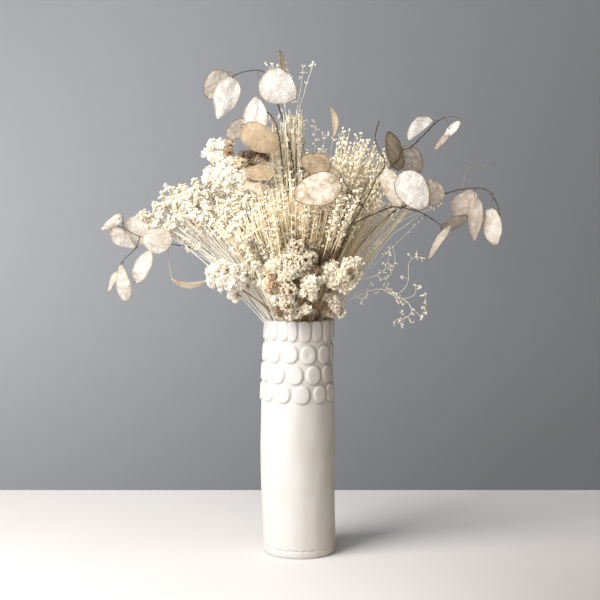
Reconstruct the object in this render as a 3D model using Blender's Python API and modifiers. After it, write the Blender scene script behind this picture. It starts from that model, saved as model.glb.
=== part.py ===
"""Dried flowers in a tall ceramic vase with thumb-pressed relief round its neck.

The vase stands on the surface with its foot centred on the origin, +Z up and the front towards -Y.
Every stem stands on the vase's floor, passes the neck at a place of its own and fans out from there.
Sizes are metres; MM turns the millimetres of the drawing into them.
"""

import math
import random
from dataclasses import dataclass, field

import bmesh
import bpy
import numpy as np
from mathutils import Matrix, Vector
from mathutils.bvhtree import BVHTree

MM = 0.001

# Vase
VASE_HEIGHT = 260 * MM
VASE_FLOOR = 8 * MM
NECK_INSIDE = 33.2 * MM
INSIDE_TAPER = 1.2 * MM
RIM_ROUNDING = 1.2 * MM
VASE_SEGMENTS = 72
# (height, radius) down the plain wall below the relief, past the pressed seam of the foot
WALL_PROFILE = [(120.0, 41.2), (10.0, 40.4), (8.5, 39.7), (7.0, 40.4), (2.2, 39.9), (0, 38.4)]
RELIEF_FOOT_RADIUS = 40.2 * MM
RELIEF_RIM_RADIUS = 37.2 * MM
RELIEF_DEPTH = 2.0 * MM
PAD_SHOULDER = 0.4
DIMPLE_DEPTH = 0.3
DIMPLE_WIDTH = 0.38
TONGUES = 18
TONGUE_RINGS = [258.4, 252.0, 246.0, 240.5, 236.6]
TONGUE_MIDDLE = 251 * MM
TONGUE_HALF_HEIGHT = 14 * MM
DISCS_PER_ROW = 12
DISC_ROW_HEIGHTS = [224.4, 202.4, 180.8]
DISC_HALF_HEIGHT = 10.9 * MM
DISC_RINGS = [0.6, 0.0, -0.6, -1.01]
RELIEF_BOTTOM = (DISC_ROW_HEIGHTS[-1] * MM + DISC_HALF_HEIGHT * DISC_RINGS[-1])

# Stems in the vase
SEAT_GAP = 0.3 * MM
FORK_HEIGHT = VASE_HEIGHT - 2 * MM
NECK_REACH = 24 * MM
NECK_SPACING = 4.8 * MM
FOOT_SHARE = 0.62
STEM_ABOVE_FLOOR = VASE_FLOOR + SEAT_GAP
CLEARANCE = 0.45 * MM
RIM_ROOM = 5 * MM
RIM_CAPSULES = 24

# Honesty: papery seed discs on brown twigs
TWIG_RADIUS = 1.0 * MM
PEDICEL_RADIUS = 0.6 * MM
POD_THICKNESS = 0.7 * MM
POD_DISH = 1.4 * MM
POD_POINTS = 10
PEDICEL_ANGLE = 0.09
PEDICEL_SHORTEST = 3 * MM

# Yarrow: corymbs of florets on branching stems
YARROW_STEM_RADIUS = 1.2 * MM
CORE_SHARE = 0.60
FLORET_SPREAD = 1.18
FLORET_CUP = 0.14
SEAT_CONE = -0.62
HEAD_GAP = 0.6 * MM

# Sprays of fine stalks
TRUNK_RADIUS = 1.4 * MM
STALK_RADIUS = 0.75 * MM
MAIN_STEM_RADII = [1.15 * MM, 0.9 * MM]
FIRST_BRANCH = 0.04
LAST_BRANCH = 0.5
RISE_START = Vector((0, 0, 3 * MM))
RISE_SHARE = 0.30
LEAN_SHARE = 0.14
BEND_AT = 0.42
FLOWER_LEAN = 0.7
SHAKE = 0.02
SHAKE_STEP = 0.0035
SHORTEST_SHARE = 0.84
MOST_TRIES = 90


def mm(x, y, z):
    """A point of the drawing, in metres."""
    return Vector((x, y, z)) * MM


@dataclass
class Pod:
    """One honesty disc: heading is clockwise from up as the front view shows it, turn is about its length."""

    centre: tuple
    length: float
    width: float
    heading: float
    turn: float = 0.0
    lean: float = 0.0


@dataclass
class Honesty:
    """One branch of honesty: its main route above the neck, its side twigs and its pods."""

    name: str
    route: list
    pods: list
    twigs: list = field(default_factory=list)


@dataclass
class Head:
    """One corymb: its centre, its width and depth, and the way it faces."""

    name: str
    centre: tuple
    width: float
    depth: float
    facing: tuple
    florets: int = 22


@dataclass
class Yarrow:
    """One stem with its heads: the point above the neck where it branches, and the heads."""

    name: str
    fork: tuple
    heads: list


@dataclass
class Spray:
    """One bunch of stalks: where its middle reaches from the rim's centre, its half-angle and its flowers."""

    name: str
    reach: tuple
    spread: float
    stalks: int
    flower: str
    dressed: float = 0.25
    flowers: int = 2
    size: float = 4.2


HONESTY = [
    Honesty(
        "honesty_top_left",
        [(-3, -8, 300), (-4, -10, 401), (-12, -12, 454), (-21, -14, 487), (-30, -16, 513), (-38, -14, 528),
         (-54, -8, 530), (-69, -4, 526), (-80, -4, 518)],
        [Pod((-92, 2, 517), 33, 29, -140, 14), Pod((-80, -10, 501), 46, 29, -159, -8),
         Pod((-23, -27, 512), 42, 38, 117, 10), Pod((-19, 0, 543), 24, 15, -11, 62)],
    ),
    Honesty(
        "honesty_left_centre",
        [(-12, -20, 330), (-15, -20, 380), (-19, -20, 433), (-25, -21, 470), (-36, -20, 485), (-50, -20, 482),
         (-56, -24, 472)],
        [Pod((-47, -25, 482), 39, 26, 0, -10), Pod((-43, -38, 456), 44, 30, 120, 12),
         Pod((-67, -16, 466), 26, 22, -127, 20), Pod((-44, -47, 419), 28, 19, -79, 38)],
    ),
    Honesty(
        "honesty_front_right",
        [(20, -13, 285), (36, -17, 312), (46, -32, 341), (54, -60, 364), (66, -64, 383), (80, -54, 411),
         (91, -40, 429), (81, -32, 454), (85, -28, 475)],
        [Pod((19, -72, 401), 49, 34, -105, 0), Pod((17, -54, 429), 31, 26, -76, 18),
         Pod((97, -34, 404), 43, 26, 156, 30), Pod((167, -30, 365), 30, 19, 62, 35),
         Pod((147, -37, 348), 40, 21, -148, 62)],
        [[(66, -64, 383), (54, -68, 398), (46, -72, 410)],
         [(54, -60, 364), (68, -60, 371), (90, -50, 380), (103, -40, 383), (130, -34, 377), (151, -34, 364)]],
    ),
    Honesty(
        "honesty_upper_right",
        [(34, -2, 310), (64, -10, 370), (96, -18, 422), (107, -12, 434), (111, -8, 444), (124, -4, 450),
         (145, 0, 471), (158, 0, 481)],
        [Pod((103, -12, 443), 41, 26, -16, 42), Pod((121, 0, 434), 33, 27, 143, 15),
         Pod((120, -46, 401), 44, 33, 147, 8), Pod((132, -6, 468), 35, 21, -127, -38),
         Pod((161, 2, 462), 40, 22, -137, 62)],
    ),
    Honesty(
        "honesty_far_right",
        [(32, -8, 290), (62, -14, 332), (100, -22, 372), (130, -24, 390), (156, -20, 397), (176, -20, 402),
         (200, -22, 402), (213, -24, 388), (217, -26, 372)],
        [Pod((146, -28, 400), 32, 26, -10, 20), Pod((179, -18, 387), 35, 28, -141, 25),
         Pod((187, -29, 369), 43, 24, 177, 48), Pod((207, -31, 362), 40, 24, 171, 32)],
    ),
    Honesty(
        "honesty_left",
        [(-22, -8, 282), (-58, -6, 314), (-87, -10, 330), (-121, -20, 340), (-140, -22, 344),
         (-173, -20, 351), (-189, -18, 359), (-200, -18, 363)],
        [Pod((-207, -20, 364), 28, 13, -125, 25), Pod((-191, -24, 348), 30, 16, 126, 20),
         Pod((-178, -10, 360), 34, 28, -59, 8), Pod((-154, -31, 351), 31, 33, 180, 10),
         Pod((-171, -20, 319), 38, 20, -149, 22), Pod((-191, -26, 302), 39, 18, 167, 20),
         Pod((-202, -18, 304), 24, 13, -158, 60)],
        [[(-173, -20, 351), (-177, -22, 339), (-188, -24, 328), (-194, -24, 320)]],
    ),
    Honesty(
        "honesty_back",
        [(4, 22, 300), (10, 62, 368), (12, 92, 412), (-4, 112, 436), (-30, 122, 444)],
        [Pod((22, 104, 424), 40, 32, 60, 170), Pod((-14, 118, 412), 42, 33, 190, 185),
         Pod((-44, 128, 432), 38, 28, -110, 170), Pod((-8, 112, 452), 34, 27, 20, 200)],
    ),
]
# The dry leaf that hangs from the left honesty branch: its stalk, then its blade
LEAF_STALK = [(-141, -22, 344), (-142, -22, 326), (-138, -23, 305)]
LEAF_BLADE = [(-139, -23, 306), (-131, -24, 301), (-119, -25, 299), (-107, -26, 301), (-99, -27, 305)]
LEAF_WIDTH = 9 * MM

YARROWS = [
    Yarrow("yarrow_left", (-44, -34, 282), [Head("a", (-74, -36, 303), 50, 40, (-0.8, -0.45, 0.6), 34)]),
    Yarrow(
        "yarrow_front", (-6, -32, 274),
        [Head("a", (0, -60, 337), 34, 31, (0.0, -0.7, 0.7), 26),
         Head("b", (-26, -54, 312), 29, 25, (-0.3, -0.8, 0.6), 22),
         Head("c", (-20, -57, 281), 32, 29, (-0.35, -0.85, 0.3), 24),
         Head("d", (11, -60, 297), 31, 28, (0.15, -0.9, 0.4), 22)],
    ),
    Yarrow(
        "yarrow_right", (21, -27, 270),
        [Head("a", (49, -51, 311), 46, 38, (0.5, -0.6, 0.6), 34),
         Head("b", (43, -46, 275), 29, 26, (0.6, -0.75, 0.1), 20),
         Head("c", (29, -51, 339), 21, 20, (0.2, -0.7, 0.7), 14)],
    ),
    Yarrow(
        "yarrow_upper_left", (-56, -8, 392),
        [Head("a", (-92, -12, 440), 38, 34, (-0.6, -0.2, 0.8), 26),
         Head("b", (-69, -28, 414), 36, 31, (-0.3, -0.8, 0.5), 26),
         Head("c", (-44, -16, 437), 30, 20, (0.1, -0.4, 0.9), 16)],
    ),
    Yarrow(
        "yarrow_back", (0, 30, 280),
        [Head("a", (-34, 52, 302), 42, 34, (-0.4, 0.8, 0.5), 22),
         Head("b", (22, 56, 300), 42, 34, (0.3, 0.85, 0.4), 22),
         Head("c", (-16, 60, 336), 32, 30, (0.0, 0.7, 0.7), 22)],
    ),
]

SPRAYS = [
    Spray("statice_far_left", (-168, -2, 122), 9, 7, "trumpet"),
    Spray("statice_left_front", (-124, -56, 120), 11, 7, "trumpet"),
    Spray("statice_left_back", (-128, 56, 130), 12, 6, "trumpet"),
    Spray("statice_left_upper", (-116, 4, 160), 10, 7, "trumpet"),
    Spray("statice_crown_left", (-68, 26, 184), 11, 6, "trumpet"),
    Spray("statice_centre_left", (-62, -64, 132), 13, 6, "trumpet"),
    Spray("statice_centre_front", (-6, -64, 150), 13, 6, "trumpet"),
    Spray("statice_centre", (-28, -30, 168), 11, 6, "trumpet"),
    Spray("broom_crown_right", (40, -14, 192), 10, 6, "bead", 0.3),
    Spray("broom_upper_right", (86, 6, 202), 9, 6, "bead", 0.3),
    Spray("broom_front_right", (46, -58, 156), 11, 6, "bead", 0.3),
    Spray("broom_right", (114, -20, 148), 10, 6, "bead", 0.3),
    Spray("broom_far_right", (154, 10, 124), 9, 6, "bead", 0.3),
    Spray("broom_right_back", (100, 58, 150), 13, 6, "bead", 0.3),
    Spray("straw_tall", (-14, 4, 236), 5, 6, "bead", 0.5, 2, 2.8),
    Spray("flax_tall", (8, 12, 274), 5, 5, "bead", 0.2, 2, 2.4),
    Spray("statice_back_left", (-82, 96, 134), 13, 6, "trumpet"),
    Spray("statice_back", (-16, 98, 160), 13, 6, "trumpet"),
    Spray("broom_back", (56, 102, 142), 13, 6, "bead", 0.3),
    Spray("broom_crown_back", (2, 52, 192), 12, 6, "bead", 0.3),
]


@dataclass
class Wisp:
    """A drooping stem with fine side twigs that end in beads."""

    name: str
    route: list
    tips: list


WISPS = [
    Wisp(
        "wisp_upper_right", [(40, -12, 284), (66, -10, 302), (84, -10, 308), (98, -10, 318)],
        [(97, -12, 337), (106, -6, 331), (90, -16, 327), (110, -14, 316), (102, -4, 308), (120, -8, 330),
         (134, -10, 327)],
    ),
    Wisp(
        "wisp_lower_right", [(40, -20, 274), (64, -22, 287), (86, -22, 296), (100, -22, 288), (114, -20, 282),
                             (121, -18, 270), (117, -18, 261)],
        [(66, -26, 281), (84, -28, 282), (131, -22, 300), (141, -18, 288), (142, -14, 274), (137, -24, 261),
         (104, -20, 260), (124, -12, 256)],
    ),
]
WISP_RADIUS = 0.55 * MM
WISP_BEAD = 2.3 * MM
WISP_FORKED = 18 * MM

COLOURS = {
    "ceramic": ((0.86, 0.85, 0.83), 0.75),
    "pod": ((0.80, 0.72, 0.62), 0.5),
    "statice": ((0.90, 0.82, 0.64), 0.85),
    "broom": ((0.84, 0.74, 0.54), 0.85),
    "straw": ((0.80, 0.72, 0.56), 0.85),
    "wisp": ((0.82, 0.76, 0.62), 0.85),
    "yarrow": ((0.88, 0.80, 0.66), 0.9),
    "bark": ((0.22, 0.13, 0.07), 0.8),
}

random.seed(11)


class Room:
    """The space already taken, as capsules that each belong to one node."""

    def __init__(self):
        self.starts, self.ends, self.radii, self.owners = [], [], [], []

    def take(self, owner, capsules):
        """Marks these (start, end, radius) capsules as the owner's."""
        for start, end, radius in capsules:
            self.starts.append(tuple(start))
            self.ends.append(tuple(end))
            self.radii.append(radius)
            self.owners.append(owner)

    def fits(self, owner, capsules):
        """True where every capsule keeps the clearance to all that other nodes hold."""
        other = np.array([o != owner for o in self.owners])
        if not other.any():
            return True
        starts, ends = np.array(self.starts)[other], np.array(self.ends)[other]
        radii = np.array(self.radii)[other]
        return all(
            (distances(np.array(a), np.array(b), starts, ends) - radii - r).min() > CLEARANCE
            for a, b, r in capsules
        )


def distances(a, b, starts, ends):
    """The distance from the segment a to b to each of the other segments."""
    tiny = 1e-12
    along, others, between = b - a, ends - starts, a - starts
    aa = along @ along + tiny
    ee = (others * others).sum(1) + tiny
    ff = (others * between).sum(1)
    cc = between @ along
    bb = others @ along
    spread = aa * ee - bb * bb
    s = np.clip(np.where(spread > tiny * ee, (bb * ff - cc * ee) / np.maximum(spread, tiny * ee), 0), 0, 1)
    t = np.clip((bb * s + ff) / ee, 0, 1)
    s = np.clip((bb * t - cc) / aa, 0, 1)
    near = between + s[:, None] * along - t[:, None] * others
    return np.sqrt((near * near).sum(1))


ROOM = Room()
PARTS = bpy.data.collections.new("dried_flowers_in_vase")
SCRATCH = bpy.data.collections.new("repeats")


def clear_scene():
    """Empties the scene and links the two collections."""
    for obj in list(bpy.data.objects):
        bpy.data.objects.remove(obj)
    bpy.context.scene.collection.children.link(PARTS)
    bpy.context.scene.collection.children.link(SCRATCH)


def material(name):
    """The Principled material of that name."""
    found = bpy.data.materials.get(name)
    if found:
        return found
    colour, roughness = COLOURS[name]
    made = bpy.data.materials.new(name)
    made.use_nodes = True
    shader = made.node_tree.nodes["Principled BSDF"]
    shader.inputs["Base Color"].default_value = (*colour, 1)
    shader.inputs["Roughness"].default_value = roughness
    shader.inputs["Metallic"].default_value = 0
    return made


def evaluated_mesh(obj):
    """A new mesh of the object as its modifiers leave it."""
    bpy.context.view_layer.update()
    graph = bpy.context.evaluated_depsgraph_get()
    return bpy.data.meshes.new_from_object(obj.evaluated_get(graph))


def object_from(mesh, name, collection):
    """A new object with this mesh, in the collection."""
    obj = bpy.data.objects.new(name, mesh)
    collection.objects.link(obj)
    return obj


def baked(obj, name, collection=SCRATCH):
    """Replaces a curve or an object with modifiers by one welded mesh in world space."""
    mesh = evaluated_mesh(obj)
    mesh.transform(obj.matrix_world)
    work = bmesh.new()
    work.from_mesh(mesh)
    bmesh.ops.remove_doubles(work, verts=work.verts, dist=1e-6)
    bmesh.ops.recalc_face_normals(work, faces=work.faces)
    work.to_mesh(mesh)
    work.free()
    bpy.data.objects.remove(obj)
    return object_from(mesh, name, collection)


def tube(points, radii):
    """A capped three-sided tube through the points, with a radius at each, in the scratch collection."""
    curve = bpy.data.curves.new("tube", "CURVE")
    curve.dimensions = "3D"
    curve.use_fill_caps = True
    curve.bevel_mode = "OBJECT"
    curve.bevel_object = stalk_profile()
    spline = curve.splines.new("POLY")
    spline.points.add(len(points) - 1)
    for place, point, radius in zip(spline.points, points, radii):
        place.co = (*point, 1)
        place.radius = radius
    return baked(object_from(curve, "tube", SCRATCH), "tube")


def thinning(count, first, last):
    """Radii that run evenly from the first to the last."""
    return [first + (last - first) * index / (count - 1) for index in range(count)]


def stalk_profile():
    """The hidden three-sided outline, one metre in radius, that stems are swept with."""
    found = bpy.data.objects.get("stalk_profile")
    if found:
        return found
    curve = bpy.data.curves.new("stalk_profile", "CURVE")
    spline = curve.splines.new("POLY")
    spline.points.add(2)
    spline.use_cyclic_u = True
    for index, point in enumerate(spline.points):
        angle = -index * math.tau / 3
        point.co = (math.cos(angle), math.sin(angle), 0, 1)
    obj = object_from(curve, "stalk_profile", bpy.context.scene.collection)
    obj.hide_render = True
    return obj


def joined(name, material_name):
    """One solid from everything in the scratch collection, named and dressed."""
    pieces = list(SCRATCH.objects)
    base = pieces[0]
    SCRATCH.objects.unlink(base)
    PARTS.objects.link(base)
    if len(pieces) > 1:
        union = base.modifiers.new("union", "BOOLEAN")
        union.operation = "UNION"
        union.operand_type = "COLLECTION"
        union.solver = "MANIFOLD"
        union.collection = SCRATCH
    mesh = evaluated_mesh(base)
    for piece in pieces:
        bpy.data.objects.remove(piece)
    obj = object_from(mesh, name, PARTS)
    mesh.materials.clear()
    mesh.materials.append(material(material_name))
    return obj


def scratch_object(work, name):
    """A scratch object with the mesh of this bmesh, which is freed."""
    mesh = bpy.data.meshes.new(name)
    work.to_mesh(mesh)
    work.free()
    return object_from(mesh, name, SCRATCH)


def turned_to(direction):
    """The rotation that takes +Z to the direction, as a 4 by 4 matrix."""
    return Vector(direction).to_track_quat("Z", "Y").to_matrix().to_4x4()


def capsules_along(points, radius):
    """The capsules of a tube."""
    return [(a, b, radius) for a, b in zip(points, points[1:])]


# Vase


def smooth(share):
    """0 to 1 with level ends."""
    share = min(max(share, 0.0), 1.0)
    return share * share * (3 - 2 * share)


def pad(across, along):
    """The height, 0 to 1, of a pressed clay pad at a place given in half-widths from its middle."""
    distance = math.hypot(across, along)
    dimple = DIMPLE_DEPTH * math.exp(-((distance / DIMPLE_WIDTH) ** 2))
    return smooth((1 - distance) / PAD_SHOULDER) - dimple


def relief(angle, height):
    """How far the pressed clay stands out at this angle and height."""
    across = ((angle / (math.tau / TONGUES) + 0.5) % 1 - 0.5) * 2
    highest = pad(across, min((height - TONGUE_MIDDLE) / TONGUE_HALF_HEIGHT, 0))
    for row, middle in enumerate(DISC_ROW_HEIGHTS):
        across = ((angle / (math.tau / DISCS_PER_ROW) + 0.5 * (row % 2)) % 1 - 0.5) * 2
        highest = max(highest, pad(across, (height - middle * MM) / DISC_HALF_HEIGHT))
    return RELIEF_DEPTH * highest


def relief_radius(height):
    """The wall's radius under the relief."""
    share = (height - RELIEF_BOTTOM) / (VASE_HEIGHT - RELIEF_BOTTOM)
    return RELIEF_FOOT_RADIUS + (RELIEF_RIM_RADIUS - RELIEF_FOOT_RADIUS) * share


def vase_profile():
    """(radius, height) from the floor's middle up the inside, over the rim and down the outside to the foot."""
    profile = [(0, VASE_FLOOR), (NECK_INSIDE + INSIDE_TAPER, VASE_FLOOR)]
    profile.append((NECK_INSIDE, VASE_HEIGHT - RIM_ROUNDING))
    profile.append((NECK_INSIDE + RIM_ROUNDING, VASE_HEIGHT))
    profile.append((RELIEF_RIM_RADIUS - RIM_ROUNDING, VASE_HEIGHT))
    rings = [height * MM for height in TONGUE_RINGS]
    rings += [row * MM + DISC_HALF_HEIGHT * share for row in DISC_ROW_HEIGHTS for share in DISC_RINGS]
    profile += [(relief_radius(height), height) for height in rings]
    profile += [(radius * MM, height * MM) for height, radius in WALL_PROFILE]
    return [*profile, (0, 0)]


def make_vase():
    """The hollow vase, with its tongues and discs raised from the wall by the relief formula."""
    work = bmesh.new()
    corners = [work.verts.new((radius, 0, height)) for radius, height in vase_profile()]
    for a, b in zip(corners, corners[1:]):
        work.edges.new((a, b))
    obj = scratch_object(work, "vase_profile")
    screw = obj.modifiers.new("turn", "SCREW")
    screw.steps = screw.render_steps = VASE_SEGMENTS
    screw.use_merge_vertices = True
    screw.merge_threshold = 1e-5
    turned = baked(obj, "vase")
    for vertex in turned.data.vertices:
        x, y, height = vertex.co
        radius = math.hypot(x, y)
        outside = radius > relief_radius(height) - RIM_ROUNDING - 0.1 * MM
        if outside and height > RELIEF_BOTTOM - 0.1 * MM:
            grown = radius + relief(math.atan2(y, x), min(height, TONGUE_RINGS[0] * MM))
            vertex.co = (x * grown / radius, y * grown / radius, height)
    vase = joined("vase", "ceramic")
    vase.data.shade_smooth()
    vase.data.set_sharp_from_angle(angle=math.radians(40))
    middle = (NECK_INSIDE + RELIEF_RIM_RADIUS + RELIEF_DEPTH) / 2
    height = VASE_HEIGHT - RIM_ROOM + RIM_ROUNDING / 4
    angles = [index * math.tau / RIM_CAPSULES for index in range(RIM_CAPSULES + 1)]
    ring = [Vector((middle * math.cos(angle), middle * math.sin(angle), height)) for angle in angles]
    ROOM.take("vase", capsules_along(ring, RIM_ROOM))


# Places in the neck


def wanted_place(reach):
    """Where a stem that ends up at this reach from the rim's centre would pass the neck."""
    reach = Vector(reach)
    flat = Vector((reach.x, reach.y))
    if flat.length < 1e-6:
        return flat
    return flat.normalized() * NECK_REACH * (flat.length / reach.length) ** 0.85


def spread_places(wanted):
    """The places pushed apart until each is NECK_SPACING from the next, and none is past NECK_REACH."""
    places = [place.copy() for place in wanted]
    for _ in range(400):
        for i, a in enumerate(places):
            for b in places[i + 1:]:
                apart = b - a
                if apart.length < NECK_SPACING:
                    push = apart.normalized() * (NECK_SPACING - apart.length) * 0.5
                    a -= push
                    b += push
        for place, home in zip(places, wanted):
            place += (home - place) * 0.01
            if place.length > NECK_REACH:
                place *= NECK_REACH / place.length
    return places


def rooted(place, route):
    """The whole route of a stem: from its seat on the vase's floor, through its place in the neck, and on."""
    seat = Vector((place.x * FOOT_SHARE, place.y * FOOT_SHARE, STEM_ABOVE_FLOOR))
    return [seat, Vector((place.x, place.y, FORK_HEIGHT)), *route]


# Honesty


def pod_axes(pod):
    """The pod's tip direction, its width direction and its normal."""
    heading, lean = math.radians(pod.heading), math.radians(pod.lean)
    tip = Vector((math.sin(heading) * math.cos(lean), -math.sin(lean), math.cos(heading) * math.cos(lean)))
    front = Vector((0, -1, 0))
    normal = (front - tip * front.dot(tip)).normalized()
    normal.rotate(Matrix.Rotation(math.radians(pod.turn), 3, tip))
    return tip, tip.cross(normal), normal


def pod_outline(angle, pod):
    """(along, across) of the pod's edge, from its tip at 0: an egg that comes to a small point."""
    point = 0.06 * max(math.cos(angle), 0) ** 8
    along = pod.length * MM / 2 * (math.cos(angle) + point)
    across = pod.width * MM / 2 * math.sin(angle) * (1 - 0.10 * math.cos(angle))
    return along, across


def add_pod(pod, carrier):
    """One thin dished disc and the flat pedicel that holds it to its place on the twig."""
    tip, side, normal = pod_axes(pod)
    centre = mm(*pod.centre)
    base = centre - tip * pod.length / 2 * MM
    way = (carrier - base).normalized()
    across = side - way * side.dot(way)
    if across.length < 0.3:
        across = normal - way * normal.dot(way)
    across.normalize()
    work = bmesh.new()
    bmesh.ops.create_circle(work, cap_ends=True, cap_tris=True, segments=POD_POINTS + 1, radius=1)
    for vertex in work.verts:
        if vertex.co.length < 0.5:
            vertex.co = centre + normal * POD_DISH
            continue
        step = round(math.atan2(vertex.co.x, vertex.co.y) / math.tau * (POD_POINTS + 1)) % (POD_POINTS + 1)
        angle = (step / POD_POINTS * 2 - 1) * (math.pi - PEDICEL_ANGLE)
        along, out = pod_outline(angle, pod)
        vertex.co = centre + tip * along + side * out
    rim = [edge for edge in work.edges if edge.is_boundary]
    base_edge = min(rim, key=lambda edge: (edge.verts[0].co - edge.verts[1].co).length)
    extruded = bmesh.ops.extrude_edge_only(work, edges=[base_edge])["geom"]
    for vertex in [item for item in extruded if isinstance(item, bmesh.types.BMVert)]:
        turn = 1 if (vertex.co - base).dot(across) > 0 else -1
        vertex.co = carrier + across * PEDICEL_RADIUS * turn
    thickened(scratch_object(work, "pod"), POD_THICKNESS)
    rows = 5
    capsules = [(base, carrier, PEDICEL_RADIUS)]
    for row in range(rows):
        share = (row + 0.5) / rows * 2 - 1
        half = pod.length * MM / 2 * math.sqrt(1 - share * share)
        place = centre + side * pod.width * MM / 2 * share
        capsules.append((place - tip * half, place + tip * half, pod.width * MM / rows * 0.55))
    return capsules


def thickened(sheet, thickness):
    """The open sheet made a thin solid."""
    shell = sheet.modifiers.new("thickness", "SOLIDIFY")
    shell.thickness = thickness
    shell.offset = 0
    baked(sheet, sheet.name)


def nearest_on(polyline, point):
    """The point of the polyline nearest to this one."""
    found = []
    for a, b in zip(polyline, polyline[1:]):
        share = max(0.0, min(1.0, (point - a).dot(b - a) / (b - a).length_squared))
        found.append(a + (b - a) * share)
    return min(found, key=lambda place: (place - point).length)


def carrier_of(pod, lines):
    """The place on these twigs from which a pedicel runs shortest and straightest into the pod's base."""
    tip = pod_axes(pod)[0]
    base = mm(*pod.centre) - tip * pod.length / 2 * MM
    best = None
    for line in lines:
        for a, b in zip(line, line[1:]):
            steps = max(2, int((b - a).length / MM))
            for step in range(steps + 1):
                place = a + (b - a) * (step / steps)
                way = base - place
                if way.length < PEDICEL_SHORTEST:
                    continue
                cost = way.length * (1.7 - way.normalized().dot(tip))
                if best is None or cost < best[1]:
                    best = (place, cost)
    return best[0]


def add_leaf():
    """The dry strap leaf: its thread of a stalk and its narrow blade."""
    tube([mm(*point) for point in LEAF_STALK], [PEDICEL_RADIUS] * len(LEAF_STALK))
    spine = [mm(*point) for point in LEAF_BLADE]
    across = Vector((0.25, -0.55, 0.8)).normalized()
    work = bmesh.new()
    bmesh.ops.create_grid(work, x_segments=len(spine) - 1, y_segments=1, size=1)
    for vertex in work.verts:
        share = (vertex.co.x + 1) / 2
        half = LEAF_WIDTH / 2 * math.sin(math.pi * (0.12 + 0.80 * share)) * vertex.co.y
        vertex.co = spine[round(share * (len(spine) - 1))] + across * half
    thickened(scratch_object(work, "leaf"), POD_THICKNESS)
    return capsules_along(spine, LEAF_WIDTH / 2) + capsules_along([mm(*p) for p in LEAF_STALK], PEDICEL_RADIUS)


def make_honesty(branch, place):
    """One branch of honesty in one node."""
    route = rooted(place, [mm(*point) for point in branch.route])
    tube(route, thinning(len(route), TWIG_RADIUS, TWIG_RADIUS * 0.7))
    capsules = capsules_along(route, TWIG_RADIUS)
    carriers = route[2:]
    for twig in branch.twigs:
        points = [mm(*point) for point in twig]
        tube(points, thinning(len(points), TWIG_RADIUS * 0.8, PEDICEL_RADIUS))
        capsules += capsules_along(points, TWIG_RADIUS)
    for pod in branch.pods:
        lines = [carriers] + [[mm(*point) for point in twig] for twig in branch.twigs]
        capsules += add_pod(pod, carrier_of(pod, lines))
    if branch.name == "honesty_left":
        capsules += add_leaf()
    ROOM.take(branch.name, capsules)
    joined(branch.name, "pod")


# Yarrow


def globe(count):
    """Points spread evenly over a unit sphere."""
    golden = math.pi * (3 - math.sqrt(5))
    for index in range(count):
        height = 1 - (index + 0.5) / count * 2
        across = math.sqrt(1 - height * height)
        yield Vector((across * math.cos(index * golden), across * math.sin(index * golden), height))


def make_head(name, head):
    """One corymb: each facet of a small core grows into a floret, but for those round the stem's seat."""
    facing = Vector(head.facing).normalized()
    shape = Matrix.Diagonal((head.width / 2 * MM, head.width / 2 * MM, head.depth / 2 * MM, 1))
    placed = Matrix.Translation(mm(*head.centre)) @ turned_to(facing) @ shape
    work = bmesh.new()
    for point in globe(head.florets // 2 + 2):
        work.verts.new(point * CORE_SHARE)
    bmesh.ops.convex_hull(work, input=work.verts)
    bmesh.ops.recalc_face_normals(work, faces=work.faces)
    below = BVHTree.FromBMesh(work).ray_cast(Vector((0, 0, -2)), Vector((0, 0, 1)))[0]
    grown = [face for face in work.faces if face.calc_center_median().normalized().z > SEAT_CONE]
    for face in bmesh.ops.extrude_discrete_faces(work, faces=grown)["faces"]:
        middle = face.calc_center_median()
        outward = middle.normalized()
        reach = random.uniform(0.93, 1.04)
        for vertex in face.verts:
            vertex.co = outward * reach + (vertex.co - middle) * FLORET_SPREAD
        cup = bmesh.ops.poke(work, faces=[face])["verts"][0]
        cup.co -= outward * FLORET_CUP
    bmesh.ops.transform(work, matrix=placed, verts=work.verts)
    scratch_object(work, "head")
    obj = joined(name, "yarrow")
    radius = max((vertex.co - mm(*head.centre)).length for vertex in obj.data.vertices)
    ROOM.take(name, [(mm(*head.centre), mm(*head.centre), radius)])
    return placed @ below - facing * HEAD_GAP


def make_yarrow(yarrow, place):
    """One stem with its heads, each head a node that sits on its own branch."""
    fork = mm(*yarrow.fork)
    seats = [make_head(f"{yarrow.name}_head_{head.name}", head) for head in yarrow.heads]
    route = rooted(place, [fork])
    tube(route, [YARROW_STEM_RADIUS] * len(route))
    capsules = capsules_along(route, YARROW_STEM_RADIUS)
    for head, seat in zip(yarrow.heads, seats):
        facing = Vector(head.facing).normalized()
        below = seat - facing * head.depth * 0.28 * MM
        start = fork - (fork - route[1]).normalized() * 2 * MM
        line = [start, below, seat]
        tube(line, [YARROW_STEM_RADIUS * 0.8] * 3)
        capsules += capsules_along(line, YARROW_STEM_RADIUS)
    ROOM.take(yarrow.name + "_stem", capsules)
    joined(yarrow.name + "_stem", "bark")


# Sprays


def bent(start, tip):
    """A stalk's route: it leaves the neck steeply and leans out towards its tip."""
    across = Vector((tip.x - start.x, tip.y - start.y, 0))
    rise = Vector((0, 0, (tip - start).length))
    control = start + rise * RISE_SHARE + across * LEAN_SHARE
    middle = start * (1 - BEND_AT) ** 2 + control * 2 * BEND_AT * (1 - BEND_AT) + tip * BEND_AT ** 2
    return [start, middle, tip]


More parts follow.
